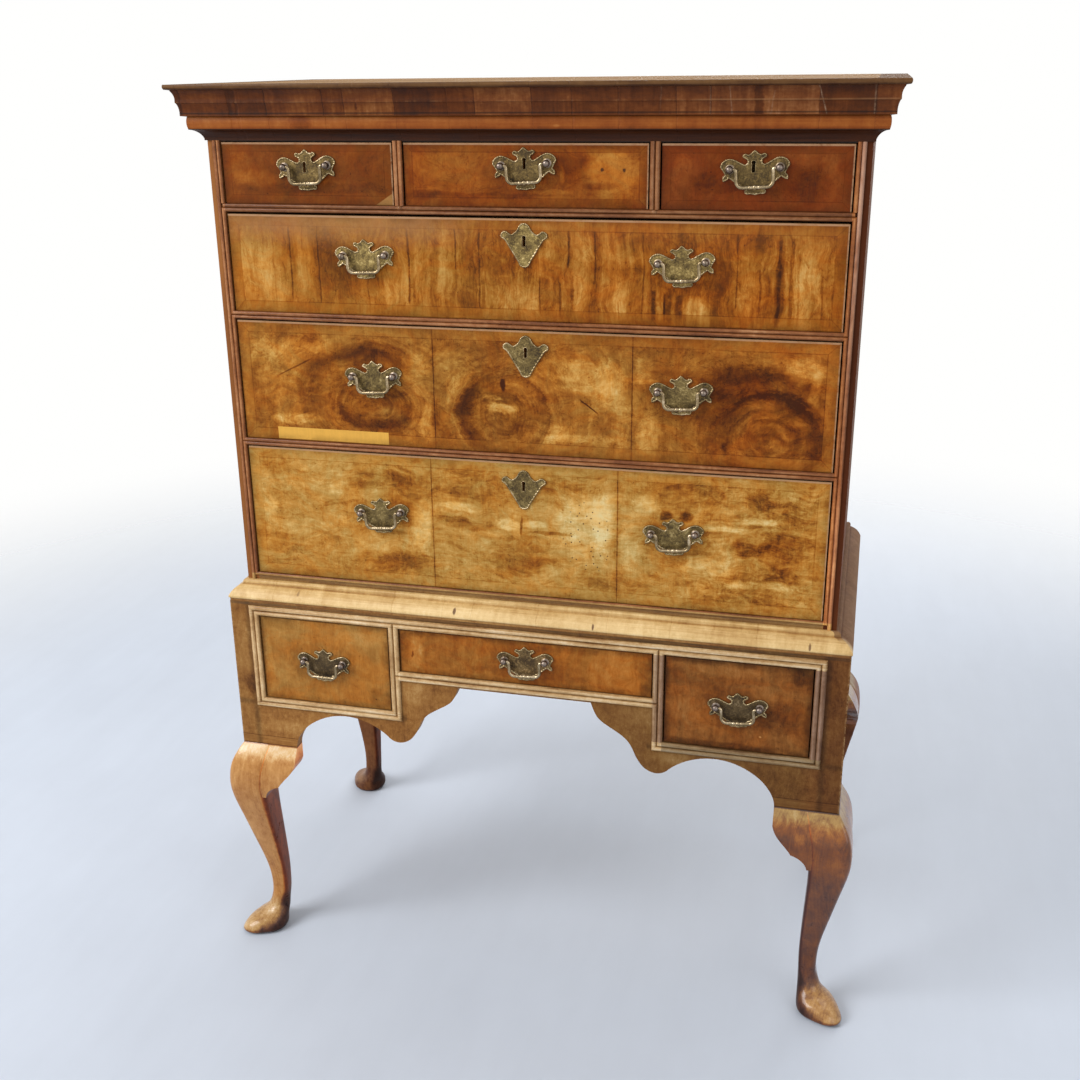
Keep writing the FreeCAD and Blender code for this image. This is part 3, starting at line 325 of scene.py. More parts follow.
            (-6, 848, 2.4, 16, -34), (40, 838, 36, 3, -34), (96, 856, 44, 56, 20),
            (130, 860, 16, 66, 20), (110, 758, 50, 8, -14), (60, 916, 80, 12, -11),
            (245, 926, 60, 12, -13), (196, 900, 20, 18, 22), (176, 830, 16, 50, 16),
            (366, 838, 34, 16, -23), (420, 842, 26, 60, -18), (300, 892, 40, 9, 24),
            (370, 882, 40, 6, 28), (370, 912, 60, 10, -12), (330, 866, 40, 5, 20),
            (370, 790, 50, 7, -16), (290, 800, 50, 18, 14), (232, 884, 10, 8, -46),
            (262, 884, 10, 8, -46), (340, 774, 16, 6, 26), (410, 776, 22, 8, 24)),
        "joints": (-157, 151.5), "worm": (104, 836, 40, 60)},
    # the stand drawers set their own amount of edge grime and painted shade
    "drawer_stand_left": {
        "seed": 3.6, "banding": 0, "pulls": ((-358, 574),), "grimeAndShade": 0.5,
        "layers": ((9, 14, 3, 0.66, 0.8, 0.1), (85, 11, 4, 0.74, 0.4, 0.12),
            (80, 72, 3, 0.7, 0.6, 0.12)), "stops": ((0, 90, 28, 5), (25, 225, 84, 12),
            (40, 310, 124, 20), (50, 366, 155, 28), (61, 420, 190, 38), (77, 490, 245, 62),
            (100, 590, 350, 120)), "stains": ((-330, 560, 90, 10, -6), (-460, 575, 7, 60, 12),
            (-252, 520, 20, 20, -14), (-290, 628, 50, 14, 12), (-430, 640, 26, 8, -10))},
    "drawer_stand_middle": {
        "seed": 6.1, "banding": 0, "pulls": ((4, 616),), "grimeAndShade": 0.5,
        "layers": ((9, 16, 4, 0.66, 0.8, 0.12), (80, 10, 4, 0.74, 0.5, 0.12),
            (84, 74, 3, 0.7, 0.6, 0.13)), "stops": ((0, 70, 18, 3), (25, 175, 50, 6), (40, 243, 73, 8),
            (50, 303, 99, 12), (61, 370, 132, 19), (77, 450, 190, 38), (100, 570, 310, 100)),
        "stains": ((-187, 620, 12, 30, 24), (-194, 612, 2, 6, -45), (0, 596, 110, 9, -10),
            (150, 615, 36, 36, 14), (205, 590, 12, 10, -20), (75, 645, 60, 6, -10))},
    "drawer_stand_right": {
        "seed": 9.5, "banding": 0, "pulls": ((356, 572),), "grimeAndShade": 0.65,
        "layers": ((10, 14, 4, 0.66, 0.8, 0.13), (85, 11, 4, 0.74, 0.4, 0.12),
            (84, 74, 3, 0.7, 0.6, 0.14)), "stops": ((0, 35, 11, 3), (25, 110, 34, 6), (40, 170, 54, 9),
            (50, 218, 73, 13), (61, 272, 95, 18), (77, 350, 140, 34), (100, 460, 230, 75)),
        "stains": ((300, 565, 50, 20, 12), (425, 560, 34, 26, -20), (456, 640, 16, 14, -30),
            (330, 506, 90, 6, -18), (330, 640, 70, 10, 14), (400, 605, 50, 12, 8),
            (394, 527, 1.6, 1.6, 60))},
}

edgeLook = {
    "board": (0.36, 0.19, 0.075),    # the pine the veneer is laid on
    "pins": (0.2, 0.1, 0.04),        # end grain between the dovetails
    "tails": (0.42, 0.25, 0.11),
    "pitch": 0.036,                  # from dovetail to dovetail
    "lap": 0.0065,                   # thickness left in front of the dovetails
    "veneer": 0.0011,
}


# growth rings and arcs about the eye of each leaf
def eyeTone(f, s, flat, x, z, rag, grit):
    first, second = (x * 1000 < at for at in s["joints"])
    centre = [f.pick(first, f.pick(second, c, b), a) for a, b, c in zip(*s["rings"])]
    fx, _, fz = f.split(flat)
    across = (fx * 1000 - centre[0]) / centre[2]
    upward = (fz * 1000 - centre[1]) / centre[3]
    away = f.length((across, upward, 0))
    wide = f.swing((away * 2.4 + rag * 0.2, x * 7, z * 7), 4, 0.7, 0.5)
    strands = f.swing((away * 10 + rag * 0.3, x * 10, z * 10), 4, 0.72, 0.4)
    tone = wide * 0.14 + strands * f.span(away, 2.6, 0.7, 0.03, 0.14)
    for cx, cz, rx, rz, dx, dz, thick, amount in s["arcs"]:
        ring = abs(f.spot(flat, cx, cz, rx, rz) - 1 + rag * 0.14 + strands * 0.05)
        turn = f.vectors("DOT_PRODUCT", flat, (dx * 1000 / rx, 0, dz * 1000 / rz))
        turn = Num(f, turn.outputs["Value"]) - (dx * cx / rx + dz * cz / rz)
        band = f.span(ring, thick * 1.15, 0) * f.span(turn, 0, 1.05, 0, amount)
        tone -= band * (1 + strands * 0.3 + grit * 0.14)
    return tone


def veneerFront(name, s):
    f = Finish(name + "_veneer", 0.1, 0.25)
    lo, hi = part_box(name + "_front")
    x, z, seed = f.x, f.z, s["seed"]
    mmX, mmZ = x * 1000, z * 1000
    warp = f.cloud(17, seed + 20, 17, 2, 0.5)
    sway = f.cloud(15, seed + 22, 15, 2, 0.5)
    wander = f.cloud(150, seed + 24, 150, 2, 0.6)
    rag = f.cloud(42, seed + 26, 75, 5, 0.78, 0.4)
    grit = f.cloud(75, seed + 28, 85, 4, 0.82, 0.5)
    fromSide = f.maths("MINIMUM", x - lo[0], hi[0] - x)
    fromEnd = f.maths("MINIMUM", z - lo[2], hi[2] - z)
    edge = f.maths("MINIMUM", fromSide, fromEnd)
    flat = f.vector(x + warp * 0.005 + wander * 0.0009, 0, z + sway * 0.0045 + wander * 0.0009)
    bentX, bentZ = x + warp * 0.0065, z + sway * 0.0065

    # the field
    tone = 0.5
    for fx, fz, detail, rough, bend, amount in s["layers"]:
        layer = f.swing((bentX * fx, seed + fx * 0.1, bentZ * fz), detail, rough, bend)
        tone = layer * amount + tone
    if "lively" in s:
        tone = (tone - 0.5) * f.span(x, *s["lively"]) + 0.5
    for fx, fz, thick, amount in s.get("veins", ()):
        vein = abs(f.swing((bentX * fx, seed + 9, bentZ * fz), 4, 0.7, 0.6))
        tone -= f.span(vein, thick, 0, 0, amount) * f.span(grit, -0.8, 0.4)
    if "rings" in s:
        tone += eyeTone(f, s, flat, x, z, rag, grit)
    tone += f.stains(flat, s["stains"], rag * 0.24 + grit * 0.16) * (1 + grit * 0.3)
    for cx, cz in s["pulls"]:    # dirt about the plates
        tone -= f.span(f.spot(flat, cx, cz, 66, 36) + rag * 0.15, 1.25, 0.7, 0, 0.1)
    for at, half, low, high, amount in s.get("lines", ()):
        off = abs(mmX - at + warp * 2.2 + wander * 0.4) - rag * 0.6
        reach = (high - low) / 2
        ends = f.span(abs(mmZ - (low + high) / 2) + rag * 6, reach + 4, reach - 8)
        tone -= f.span(off, half + 1.1, half * 0.4, 0, amount * 0.0085) * ends \
            * f.span(grit, -0.9, 0.3, 0.45, 1)
    for cx, cz, long, half, slope, amount in s.get("slashes", ()):
        off = abs((mmZ - cz) - (mmX - cx) * slope + warp * 3 + rag * 0.8)
        run = abs((mmX - cx) + (mmZ - cz) * slope) + rag * 4
        tone -= f.span(off, half + 0.8, half * 0.3, 0, amount) * f.span(run, long, long * 0.6)
    lines = f.cloud(520, seed + 30, 22, 3, 0.65)
    ticks = f.span(f.noise((x * 1500, seed + 31, z * 60), 1), 0.63, 0.74)
    specks = f.span(f.noise((x * 230, seed + 32, z * 200), 2, 0.6), 0.66, 0.76)
    tone += lines * 0.025 - ticks * 0.1 - specks * 0.22
    for at in s.get("joints", ()):
        line = abs(mmX - at + wander * 0.3)
        tone = tone - f.span(line, 1.4, 0.3, 0, 0.34) * f.span(grit, -1, 0.2, 0.3, 1) \
            - f.span(line, 7, 1, 0, 0.05)

    # cross-grained banding, mitred at the corners, in pieces of uneven length
    if s["banding"]:
        width = s["banding"] / 1000
        onSide = fromSide < fromEnd
        along, across = f.pick(onSide, z, x), f.pick(onSide, x, z)
        bandLines = f.swing((along * 30, across * 240, seed + 40), 3, 0.65)
        piece = f.maths("FLOOR", across * 14 + f.noise((across * 9, seed, 0)) * 1.4)
        step = f.chance((piece, onSide, z > (lo[2] + hi[2]) / 2))
        lot = f.swing((across * 9, along * 30, seed + 44), 3, 0.65)
        band = s["bandTone"] + bandLines * 0.08 + (step - 0.5) * 0.12 + lot * 0.15 + grit * 0.09
        mitre = f.span(abs(fromSide - fromEnd), 0.0012, 0.0003, 0, 0.1)
        band = f.pick(s["bandMix"], tone, band) - mitre
        tone = f.pick(edge < width + wander * 0.0002, tone, band)
        tone -= f.span(abs(edge - width), 0.0012, 0.0003, 0, 0.1) * (1 + lot)

    f.colour = f.ramp(tone, s["stops"])
    hue = f.swing((bentX * 13, seed + 33, bentZ * 16), 4, 0.74, 0.8)
    f.tint(1, f.colours(f.span(hue, -0.9, 0.9), (1.09, 0.9, 0.62), (0.95, 1.09, 1.3)))
    if "repair" in s:
        x0, x1, z0, z1 = (v / 1000 for v in s["repair"])
        strip = f.scaled(s["strip"], 1 + bandLines * 0.07 + lot * 0.08)
        f.paint((x > x0) * (x < x1) * (z > z0) * (z < z1), strip)
    if "warmer" in s:
        x0, x1, tint = s["warmer"]
        f.tint(f.span(x, x0, x1), tint)
    if "faded" in s:    # sun-bleached tan along the top
        z0, z1, at, half, most = s["faded"]
        fade = f.span(abs(mmX - at) + rag * 40, half + 60, half - 60, 0.15, 1) \
            * f.span(z + rag * 0.008, z0, z1, 0, most) * f.span(grit, -1.2, 0.8, 0.6, 1)
        f.paint(fade, (0.37, 0.185, 0.075))
    if "chip" in s:
        cx, cz, rx, rz = s["chip"]
        chip = (mmX - (cx - rx)) / rx - (mmZ - cz) / rz * 0.9
        f.paint(f.span(chip, -0.05, 0.1) * (mmZ < cz + rz), (0.34, 0.165, 0.048))
    for cx, cz, r in s.get("pins", ()):
        f.paint(f.span(f.spot(flat, cx, cz, r, r), 1.3, 0.7, 0, 0.9), (0.05, 0.018, 0.008))
    holes = 0
    if "worm" in s:
        cells = f.node("TexVoronoi", {"voronoi_dimensions": "2D"},
                       {"Vector": (x, z, 0), "Scale": 88})
        some = Num(f, f.node("SeparateColor", {}, {0: cells.outputs[1]}).outputs[0]) > 0.45
        near = f.span(f.spot(flat, *s["worm"]) + rag * 0.2, 1.1, 0.9)
        holes = f.span(Num(f, cells.outputs[0]), 0.12, 0.07) * some * near
        f.paint(holes * 0.9, (0.06, 0.022, 0.01))

    # grime and painted shade towards the edges, darkest in a painted shadow line at the edge itself
    # where the front sits back in its opening, and a rubbed pale arris along the top
    edgeDarkening = s.get("grimeAndShade", 0.34)
    grimeAndShade = f.span(edge, 0.014, 0, 0, edgeDarkening) * f.span(warp + rag, -1.1, 0.7)
    f.shade(1 - f.maths("MAXIMUM", grimeAndShade, f.span(edge, 0.0026, 0.001, 0, edgeDarkening)))
    if s["banding"]:
        top = f.span(hi[2] - z, 0.0034, 0.0022) * f.span(rag, -1, 0.2, 0.35, 1)
        side = f.span(hi[0] - x, 0.0024, 0.0012) * f.span(rag, -0.9, 0.3)
        f.paint(f.maths("MAXIMUM", top, side) * 0.85, (0.47, 0.27, 0.145))

    # the board behind the veneer: veneer edge, lap and dovetails
    deep = f.y - lo[1]
    rise = f.maths("FRACT", (z - lo[2]) / edgeLook["pitch"])
    tail = f.span(abs(rise - 0.5) + (deep - 0.012) * 6, 0.31, 0.33, 1, 0) \
        * (deep > edgeLook["lap"]) * (fromSide < 0.0006)
    grown, _, drift = grain(f, x, z + f.y, seed + 60, 1.6)
    bare = f.colours(tail, edgeLook["pins"], edgeLook["tails"])
    bare = f.colours(fromSide < 0.0006, edgeLook["board"], bare)
    f.paint(deep > edgeLook["veneer"], f.scaled(bare, 0.62 + grown * 0.5 + drift * 0.3))

    gloss = f.cloud(21, seed + 70, 21)
    front = deep < 0.0004
    ripple = f.noise((x * 28, seed + 80, z * 14), 1, 0.5)
    f.relief(lines * 0.04 + ripple * 0.9 - ticks * 0.5 - holes * 2, 0.00035, 0.6)
    f.dress([name + "_front"], f.pick(front, 0.75, 0.44 + gloss * 0.07 - (tone - 0.5) * 0.05),
            front * f.span(gloss, -1, 1, 0.01, 0.07))


for name, settings in frontLook.items():
    veneerFront(name, settings)
print("drawer fronts veneered")

# sides, backs and linings
woodLook = {
    # grain runs along "x", "y" or "z"
    "case_sides": {
        "grain": "z", "across": "y", "seed": 11, "rough": 0.62, "coat": 0, "figure": 0.9,
        "stops": ((0, 35, 11, 4), (45, 120, 38, 11), (75, 195, 70, 20), (100, 320, 140, 45)),
        # edge: tints of the front edges, left then right, a painted light and shade
        "edge": ((1.75, 1.9, 1.9), (0.75, 0.6, 0.6))},
    "stand_sides": {
        "grain": "z", "across": "y", "seed": 12.4, "rough": 0.52, "coat": 0.05, "figure": 0.7,
        "stops": ((0, 60, 22, 7), (45, 165, 68, 21), (75, 240, 110, 36), (100, 340, 180, 65))},
    "case_panels": {
        "grain": "z", "across": "x", "seed": 13.8, "rough": 0.78, "coat": 0, "boards": 0.1988,
        "nails": (0.752, 1.125, 1.492), "figure": 0.8,
        "stops": ((0, 130, 65, 28), (45, 270, 155, 70), (75, 360, 225, 110), (100, 460, 310, 170))},
    "stand_frame": {
        "grain": "x", "across": "z", "seed": 14.2, "rough": 0.8, "coat": 0, "figure": 0.6,
        "stops": ((0, 120, 60, 26), (45, 250, 140, 62), (75, 340, 210, 100), (100, 440, 290, 155))},
    "boxes": {
        "grain": "y", "across": "z", "seed": 15.9, "rough": 0.72, "coat": 0, "figure": 0.7,
        "stops": ((0, 170, 85, 35), (45, 330, 190, 85), (75, 430, 270, 130), (100, 550, 380, 210))},
}


def plainWood(name, s, *pieces):
    f = Finish(name, 0.08, 0.3)
    axes = {"x": f.x, "y": f.y, "z": f.z}
    if "boards" in s:    # the top is boarded lengthwise, the back upright
        level = abs(f.split(f.facing)[2]) > 0.5
        axes["z"], axes["x"] = f.pick(level, f.z, f.x), f.pick(level, f.x, f.y)
    along, side = axes.pop(s["grain"]), axes.pop(s["across"])
    across = side + next(iter(axes.values())) * 0.7
    warp = f.noise(f.at(3, 3, 3), 2, 0.5)
    bent = across + (warp - 0.5) * 0.03
    lines, pores, drift = grain(f, along, bent, s["seed"], 1.3)
    arch = f.maths("SINE", bent * 160 + f.noise((along * 1.2, bent * 5, s["seed"])) * 14)
    tick = f.span(pores, 0.64, 0.74, 0, 0.22)
    marks = f.noise(f.at(9, 9, 9), 4, 0.65)
    tone = 0.52 + (lines - 0.5) * 0.55 + ((drift - 0.5) * 0.9 + arch * 0.07) * s["figure"] \
        + (warp - 0.5) * 0.4 - tick - f.span(marks, 0.6, 0.74, 0, 0.22)
    gap = 0
    if "boards" in s:    # shrunk joints, each board its own tone, nailed at the rails
        place = side / s["boards"] + 0.5
        tone += (f.chance((f.maths("FLOOR", place), level, 0)) - 0.5) * 0.26
        split = abs(f.maths("FRACT", place + 0.5) - 0.5) + (warp - 0.5) * 0.004
        tone -= f.span(split, 0.1, 0, 0, 0.1)
        aside = (f.maths("FRACT", place * 2) - 0.5) * (s["boards"] / 2)
        away = abs(f.z - s["nails"][0])
        for height in s["nails"][1:]:
            away = f.maths("MINIMUM", away, abs(f.z - height))
        nail = f.length((aside, away, level))
        tone -= f.span(nail, 0.016, 0.002, 0, 0.16)
        gap = f.maths("MAXIMUM", f.span(split, 0.007, 0.004), f.span(nail, 0.003, 0.0022))
    f.colour = f.ramp(tone, s["stops"])
    if "boards" in s:
        f.paint(gap, (0.022, 0.014, 0.01))
    if "edge" in s:    # the front edges that show beside the beads, painted paler on the left and darker on the right: painted light and shade
        f.tint(f.y < -0.2485, f.colours(f.x > 0, *s["edge"]))
    coat = f.span(marks, 0.3, 0.7, s["coat"] * 1.3, s["coat"] * 0.6) if s["coat"] else 0
    f.relief(lines * 0.5 - tick * 1.2 + warp - gap * 3, 0.0004, 0.6)
    f.dress(pieces, s["rough"] + (marks - 0.5) * 0.24, coat)


plainWood("side_veneer", woodLook["case_sides"], "case_sides")
plainWood("stand_side_veneer", woodLook["stand_sides"], "stand_sides")
plainWood("back_boards", woodLook["case_panels"], "case_panels")
plainWood("frame_pine", woodLook["stand_frame"], "stand_frame")
plainWood("drawer_pine", woodLook["boxes"], *(n + "_box" for n in frontLook))
print("sides, backs and linings finished")

# mouldings: cross-grained strips laid in short pieces
mouldLook = {
    "cornice": {
        "seed": 21, "piece": 15, "uneven": 3.4, "fine": 230, "rough": 0.45,
        "hollow": ((0, 26, 6, 1), (30, 66, 16, 2), (50, 106, 27, 4), (65, 148, 43, 8), (82, 215, 76, 18),
            (100, 320, 140, 50)), "band": ((0, 55, 12, 2), (30, 150, 34, 4), (50, 232, 56, 8),
            (70, 310, 90, 15), (100, 450, 175, 45)),
        # pale glue lines between the pieces: x, lean, amount
        "glue": ((211, 0.1, 0.2), (280, 0, 0.2), (308, -0.1, 0.25), (365, 0.15, 0.3), (431, -0.3, 0.6),
            (499, 0, 0.4)), "cove": ((10, 8, 2, 1), (90, 80, 22, 6)),
        "slab": ((10, 46, 15, 4), (90, 200, 98, 34)),
        "stains": ((-335, 1471, 16, 14, -30), (-250, 1478, 60, 3, 10), (60, 1466, 5, 2, 20))},
    "waist": {
        "seed": 22.5, "piece": 11, "uneven": 3, "fine": 150, "rough": 0.42,
        "stops": ((0, 75, 26, 7), (25, 235, 98, 22), (45, 420, 228, 70), (62, 600, 385, 150),
            (80, 790, 565, 270), (100, 920, 740, 460)), "scars": ((-118, 696, 2.4, 4.5, 90),
            (118, 692, 1.8, 4.5, 90), (463, 692, 2, 5, 80), (-400, 700, 2, 3, 50))},
}


# pieces along a run: their tone, the joints between them and the grain across the run
def crossPieces(f, s, run, girth):
    place = run * s["piece"] + f.noise((run * 11, s["seed"], 0)) * s["uneven"]
    step = f.chance((f.maths("FLOOR", place), s["seed"], 0))
    gap = f.maths("FRACT", place + f.swing((run * 30, girth * 60, s["seed"])) * 0.015)
    joint = f.span(f.maths("MINIMUM", gap, 1 - gap), 0.026, 0.008)
    fine = f.swing((run * s["fine"], girth * 22, s["seed"] + 1), 3, 0.66)
    wide = f.swing((run * 38, girth * 8, s["seed"] + 2), 4, 0.66, 0.4)
    return step, joint, fine, wide


def corniceFinish(s):
    f = Finish("cornice_walnut", 0.12, 0.25)
    nx, ny, nz = f.split(f.facing)
    mmX, mmZ = f.x * 1000, f.z * 1000
    step, joint, fine, wide = crossPieces(f, s, f.pick(abs(nx) > abs(ny), f.x, f.y), f.z)
    long = f.swing((f.x * 6, f.z * 330, f.y * 60), 4, 0.66)
    soil = f.swing(f.at(15, 15, 34), 4, 0.7)
    grit = f.swing(f.at(95, 95, 95), 4, 0.8)
    hollow = 0.47 + (step - 0.5) * 0.4 + fine * 0.1 + wide * 0.18 + soil * 0.22 + grit * 0.12 \
        - joint * (0.04 + step * 0.3) + f.span(f.x, 0.3, 0.54, 0, 0.06)
    f.colour = f.ramp(hollow, s["hollow"])
    f.tint(1, f.colours(f.span(f.x, -0.3, 0.3), (0.88, 0.82, 0.8), (1.02, 1.03, 1.3)))
    for x, lean, amount in s["glue"]:
        off = abs(mmX - x - (mmZ - 1500) * lean + wide * 0.8)
        pale = f.span(off, 1.6, 0.2, 0, amount) * f.span(grit + wide, -0.8, 0.8)
        f.paint(pale * (abs(ny) > abs(nx)), (0.34, 0.23, 0.15))
    band = 0.58 + long * 0.12 + wide * 0.12 + soil * 0.12 + grit * 0.1 - joint * 0.03 \
        + f.span(f.x, 0.1, -0.4, 0, 0.13) - f.span(mmZ, 1466.5, 1462.5, 0, 0.16) \
        + f.stains(f.vector(f.x, 0, f.z), s["stains"], grit * 0.3)
    f.paint(mmZ < 1481, f.ramp(band, s["band"]))
    # the cove under the band: its wood painted near black, a painted shade under the band's overhang
    f.paint(mmZ < 1461.8, f.ramp(0.45 + long * 0.2 + soil * 0.14, s["cove"]))
    # a broken pale line along the middle of the hollow, a painted highlight on the curve of its profile
    broken = f.span(wide + long * 0.5 + f.span(f.x, 0.2, 0.3), -0.2, 0.9)
    f.paint(f.span(abs(mmZ - 1500.4), 1.5, 0.7) * broken * 0.45, (0.25, 0.12, 0.05))
    # painted shade: dark lines along the two steps of the profile above the band
    edges = f.maths("MINIMUM", abs(mmZ - 1484), abs(mmZ - 1480))
    f.shade(f.span(edges, 0.3, 1.8, 0.35, 1))
    slab = 0.46 + long * 0.24 + soil * 0.18 + grit * 0.12 - f.span(mmZ, 1522, 1519.5, 0, 0.35)
    f.paint(mmZ > 1518.4, f.ramp(slab, s["slab"]))
    dust = f.span(nz, 0.5, 0.95)
    f.paint(dust * f.span(soil, -0.8, 0.8, 0.15, 0.5), (0.11, 0.066, 0.034))
    f.relief(fine * 0.15 + long * 0.1 - joint * 1.2 + soil * 0.25 + grit * 0.2, 0.0005, 0.7)
    f.dress(["cornice"], s["rough"] + soil * 0.06 + dust * 0.35,
            f.span(soil, -0.8, 0.8, 0.1, 0.02) * f.span(nz, 0.9, 0.5))


def waistFinish(s):
    f = Finish("waist_walnut", 0.2, 0.25)
    nx, ny, _ = f.split(f.facing)
    run = f.pick(abs(nx) > abs(ny) + 0.25, f.x, f.y)
    step, joint, fine, wide = crossPieces(f, s, run, f.z + f.y)
    soil = f.swing(f.at(9, 24, 40), 4, 0.7)
    streak = f.swing((run * 6, f.z * 380, f.y * 190), 4, 0.74, 0.4)
    grit = f.swing(f.at(90, 90, 90), 4, 0.8)
    mmZ = f.z * 1000
    upper = f.span(mmZ, 693, 701)
    # the strip under the nose is painted dark: a painted shade under the overhang
    tone = 0.755 + (step - 0.5) * 0.12 + fine * 0.04 + wide * 0.08 + soil * 0.1 + grit * 0.08 \
        - joint * 0.05 + streak * (0.05 + upper * 0.09) - f.span(abs(f.x), 0.15, 0.45, 0, 0.085) \
        - upper * 0.06 - f.span(mmZ, 701, 707, 0, 0.06) - f.span(mmZ, 685.9, 683, 0, 0.42) \
        - f.span(abs(mmZ - 706.3), 1.6, 0.5, 0, 0.2) * f.span(soil, -0.9, 0.3, 0.3, 1)
    f.colour = f.ramp(tone, s["stops"])
    scars = f.stains(f.vector(f.x, 0, f.z), s["scars"], grit * 0.3)
    f.paint(scars, (0.11, 0.04, 0.012))
    # the run along the right-hand side is painted dark, a painted shade, and made rougher and without
    # coat
    darker = f.span(f.y, -0.272, -0.25) * (f.x + f.y > 0.2415)
    f.tint(darker, (0.34, 0.26, 0.3))
    f.relief(fine * 0.1 - joint * 0.6 + soil * 0.2 + streak * 0.3 + grit * 0.1 - scars, 0.0005, 0.7)
    f.dress(["waist_moulding"], s["rough"] + soil * 0.05 + streak * 0.03 + darker * 0.3,
            f.span(soil, -0.8, 0.8, 0.24, 0.08) * (1 - darker))


beadLook = {
    "case": {
        "seed": 23.1, "crest": -0.254, "depth": 0.0045, "left": 1.15, "right": 0.86,
        "rightUprightTint": (1.55, 1.4, 1.1), "worn": (0.45, 0.48), "low": 1.4, "shadedLevels": (-1, 1.333, 1.35, 0.74),
        "foot": ((0, 90, 34, 9), (40, 300, 145, 40), (65, 450, 260, 85), (100, 680, 470, 210)),
        "stops": ((0, 16, 4, 2), (30, 86, 23, 5), (50, 186, 59, 16), (65, 274, 100, 32),
            (82, 410, 190, 80), (100, 560, 340, 170))},
    "stand": {
        "seed": 24.9, "crest": -0.2808, "depth": 0.0053, "left": 1.08, "right": 0.76,
        "rightUprightTint": (0.66, 0.56, 0.68), "worn": (0.2, 0.24), "low": 1, "shadedLevels": (0.235, 0.4, 0.52, 0.5),
        "stops": ((0, 45, 17, 6), (30, 215, 98, 30), (50, 400, 225, 86), (70, 600, 400, 195),
            (100, 860, 700, 480))},
}


# strips round the drawers; upright ones are told from level ones by where they stand
def beadFinish(name, s, upright, *pieces):
    f = Finish(name, 0.18, 0.2)
    up, own = upright(f), s["seed"]
    run, girth = f.pick(up, f.x, f.z), f.pick(up, f.z, f.x)
    long = f.swing((run * 4.5, girth * 360, f.y * 60 + own), 4, 0.76, 0.5)
    short = f.swing((run * 24, girth * 600, own + 3), 3, 0.7)
    lot = f.swing((run * 8, girth * 26, own + 5), 4, 0.74)
    grit = f.swing(f.at(120, 120, 120), 3, 0.76)
    sunk = f.y - s["crest"]
    # the crests are painted paler, a painted highlight
    tone = 0.49 + long * 0.23 + short * 0.08 + lot * 0.2 + grit * 0.1 \
        + f.span(sunk, 0.0018, 0, 0, 0.2)
    f.colour = f.ramp(tone, s["stops"])
    # painted shade in the grooves, deepest at the foot of each bead
    grooveShade = f.span(sunk, s["depth"] * 0.45, s["depth"] * 0.95, 1, 0.13)
    if "foot" in s:    # the lowest bead is as pale as the moulding under it
        foot = f.span(f.z + long * 0.0008, 0.727, 0.7245)
        f.paint(foot, f.ramp(tone - 0.03, s["foot"]))
        grooveShade = f.pick(foot, grooveShade, f.span(sunk, 0, s["depth"], 1, 0.72))
    # painted light and shade: paler to the left, darker to the right
    shade = f.pick(up, f.span(f.x, -0.45, 0.5, 1, s["right"] + 0.14),
                   f.span(f.x, -0.35, 0.45, s["left"], s["right"] - 0.1))
    # painted shade on some level ones: the rail under the top row of the case, the lower right-hand ones
    # of the stand
    x0, z0, z1, amount = s["shadedLevels"]
    shade *= f.pick((f.x > x0) * (f.z > z0) * (f.z < z1) * (1 - up), 1, amount)
    f.shade(shade * grooveShade)
    # the right-hand uprights are recoloured: paler on the case, as worn wood; darker on the stand, a
    # painted shade
    worn = up * f.span(f.x, *s["worn"])
    rightUprightTint = f.colours(1, f.colour, s["rightUprightTint"], "MULTIPLY")
    f.paint(worn, f.scaled(rightUprightTint, f.span(f.z, 1.1, 0.85, 1, s["low"])))
    # the outer one near its head: rubbed bare and painted paler still, a painted highlight
    bare = worn * (f.x > 0.4865) * (f.x < 0.4935) * f.span(f.z, 1, 1.42, 0.12, 0.6)
    f.paint(bare * f.span(lot, -0.8, 0.4), (0.56, 0.36, 0.27))
    f.relief(long * 0.3 + short * 0.2 + grit * 0.2, 0.0004, 0.7)
    f.dress(pieces, 0.4 + grit * 0.05, f.span(lot, -0.8, 0.8, 0.24, 0.06))
    return f


def caseUpright(f):
    sides = abs(f.x) > 0.4795
    nearest = f.maths("MINIMUM", abs(f.x + 0.1895), abs(f.x - 0.2005))
    return f.maths("MAXIMUM", sides, (f.z > 1.3496) * (nearest < 0.0078))


def standUpright(f):
    edges = f.maths("MINIMUM", abs(abs(f.x) - 0.483), abs(abs(f.x) - 0.227))
    return (edges < 0.0095) * (f.z < 0.6565) * (f.z > 0.4985)


corniceFinish(mouldLook["cornice"])
waistFinish(mouldLook["waist"])
caseBead = beadFinish("case_bead_walnut", beadLook["case"], caseUpright, "case_beads", "case_rails")
beadFinish("stand_bead_walnut", beadLook["stand"], standUpright, "stand_beads")
print("mouldings finished")

standLook = {
    "seed": 31, "rough": 0.52, "left": 1.08, "right": 0.66, "stops": ((0, 45, 15, 3), (30, 155, 56, 11),
        (50, 262, 110, 25), (65, 345, 165, 44), (82, 450, 250, 85), (100, 580, 380, 170)),
    "stains": ((-500, 520, 8, 20, -25), (-505, 600, 14, 60, 8), (-420, 440, 60, 12, 12),
        (-230, 470, 40, 26, -6), (-190, 540, 26, 22, 12), (200, 545, 36, 20, 14), (255, 470, 26, 14, 16),
        (420, 440, 60, 26, -10), (500, 620, 16, 50, -12)), "rim": (0.58, 0.38, 0.17),
}


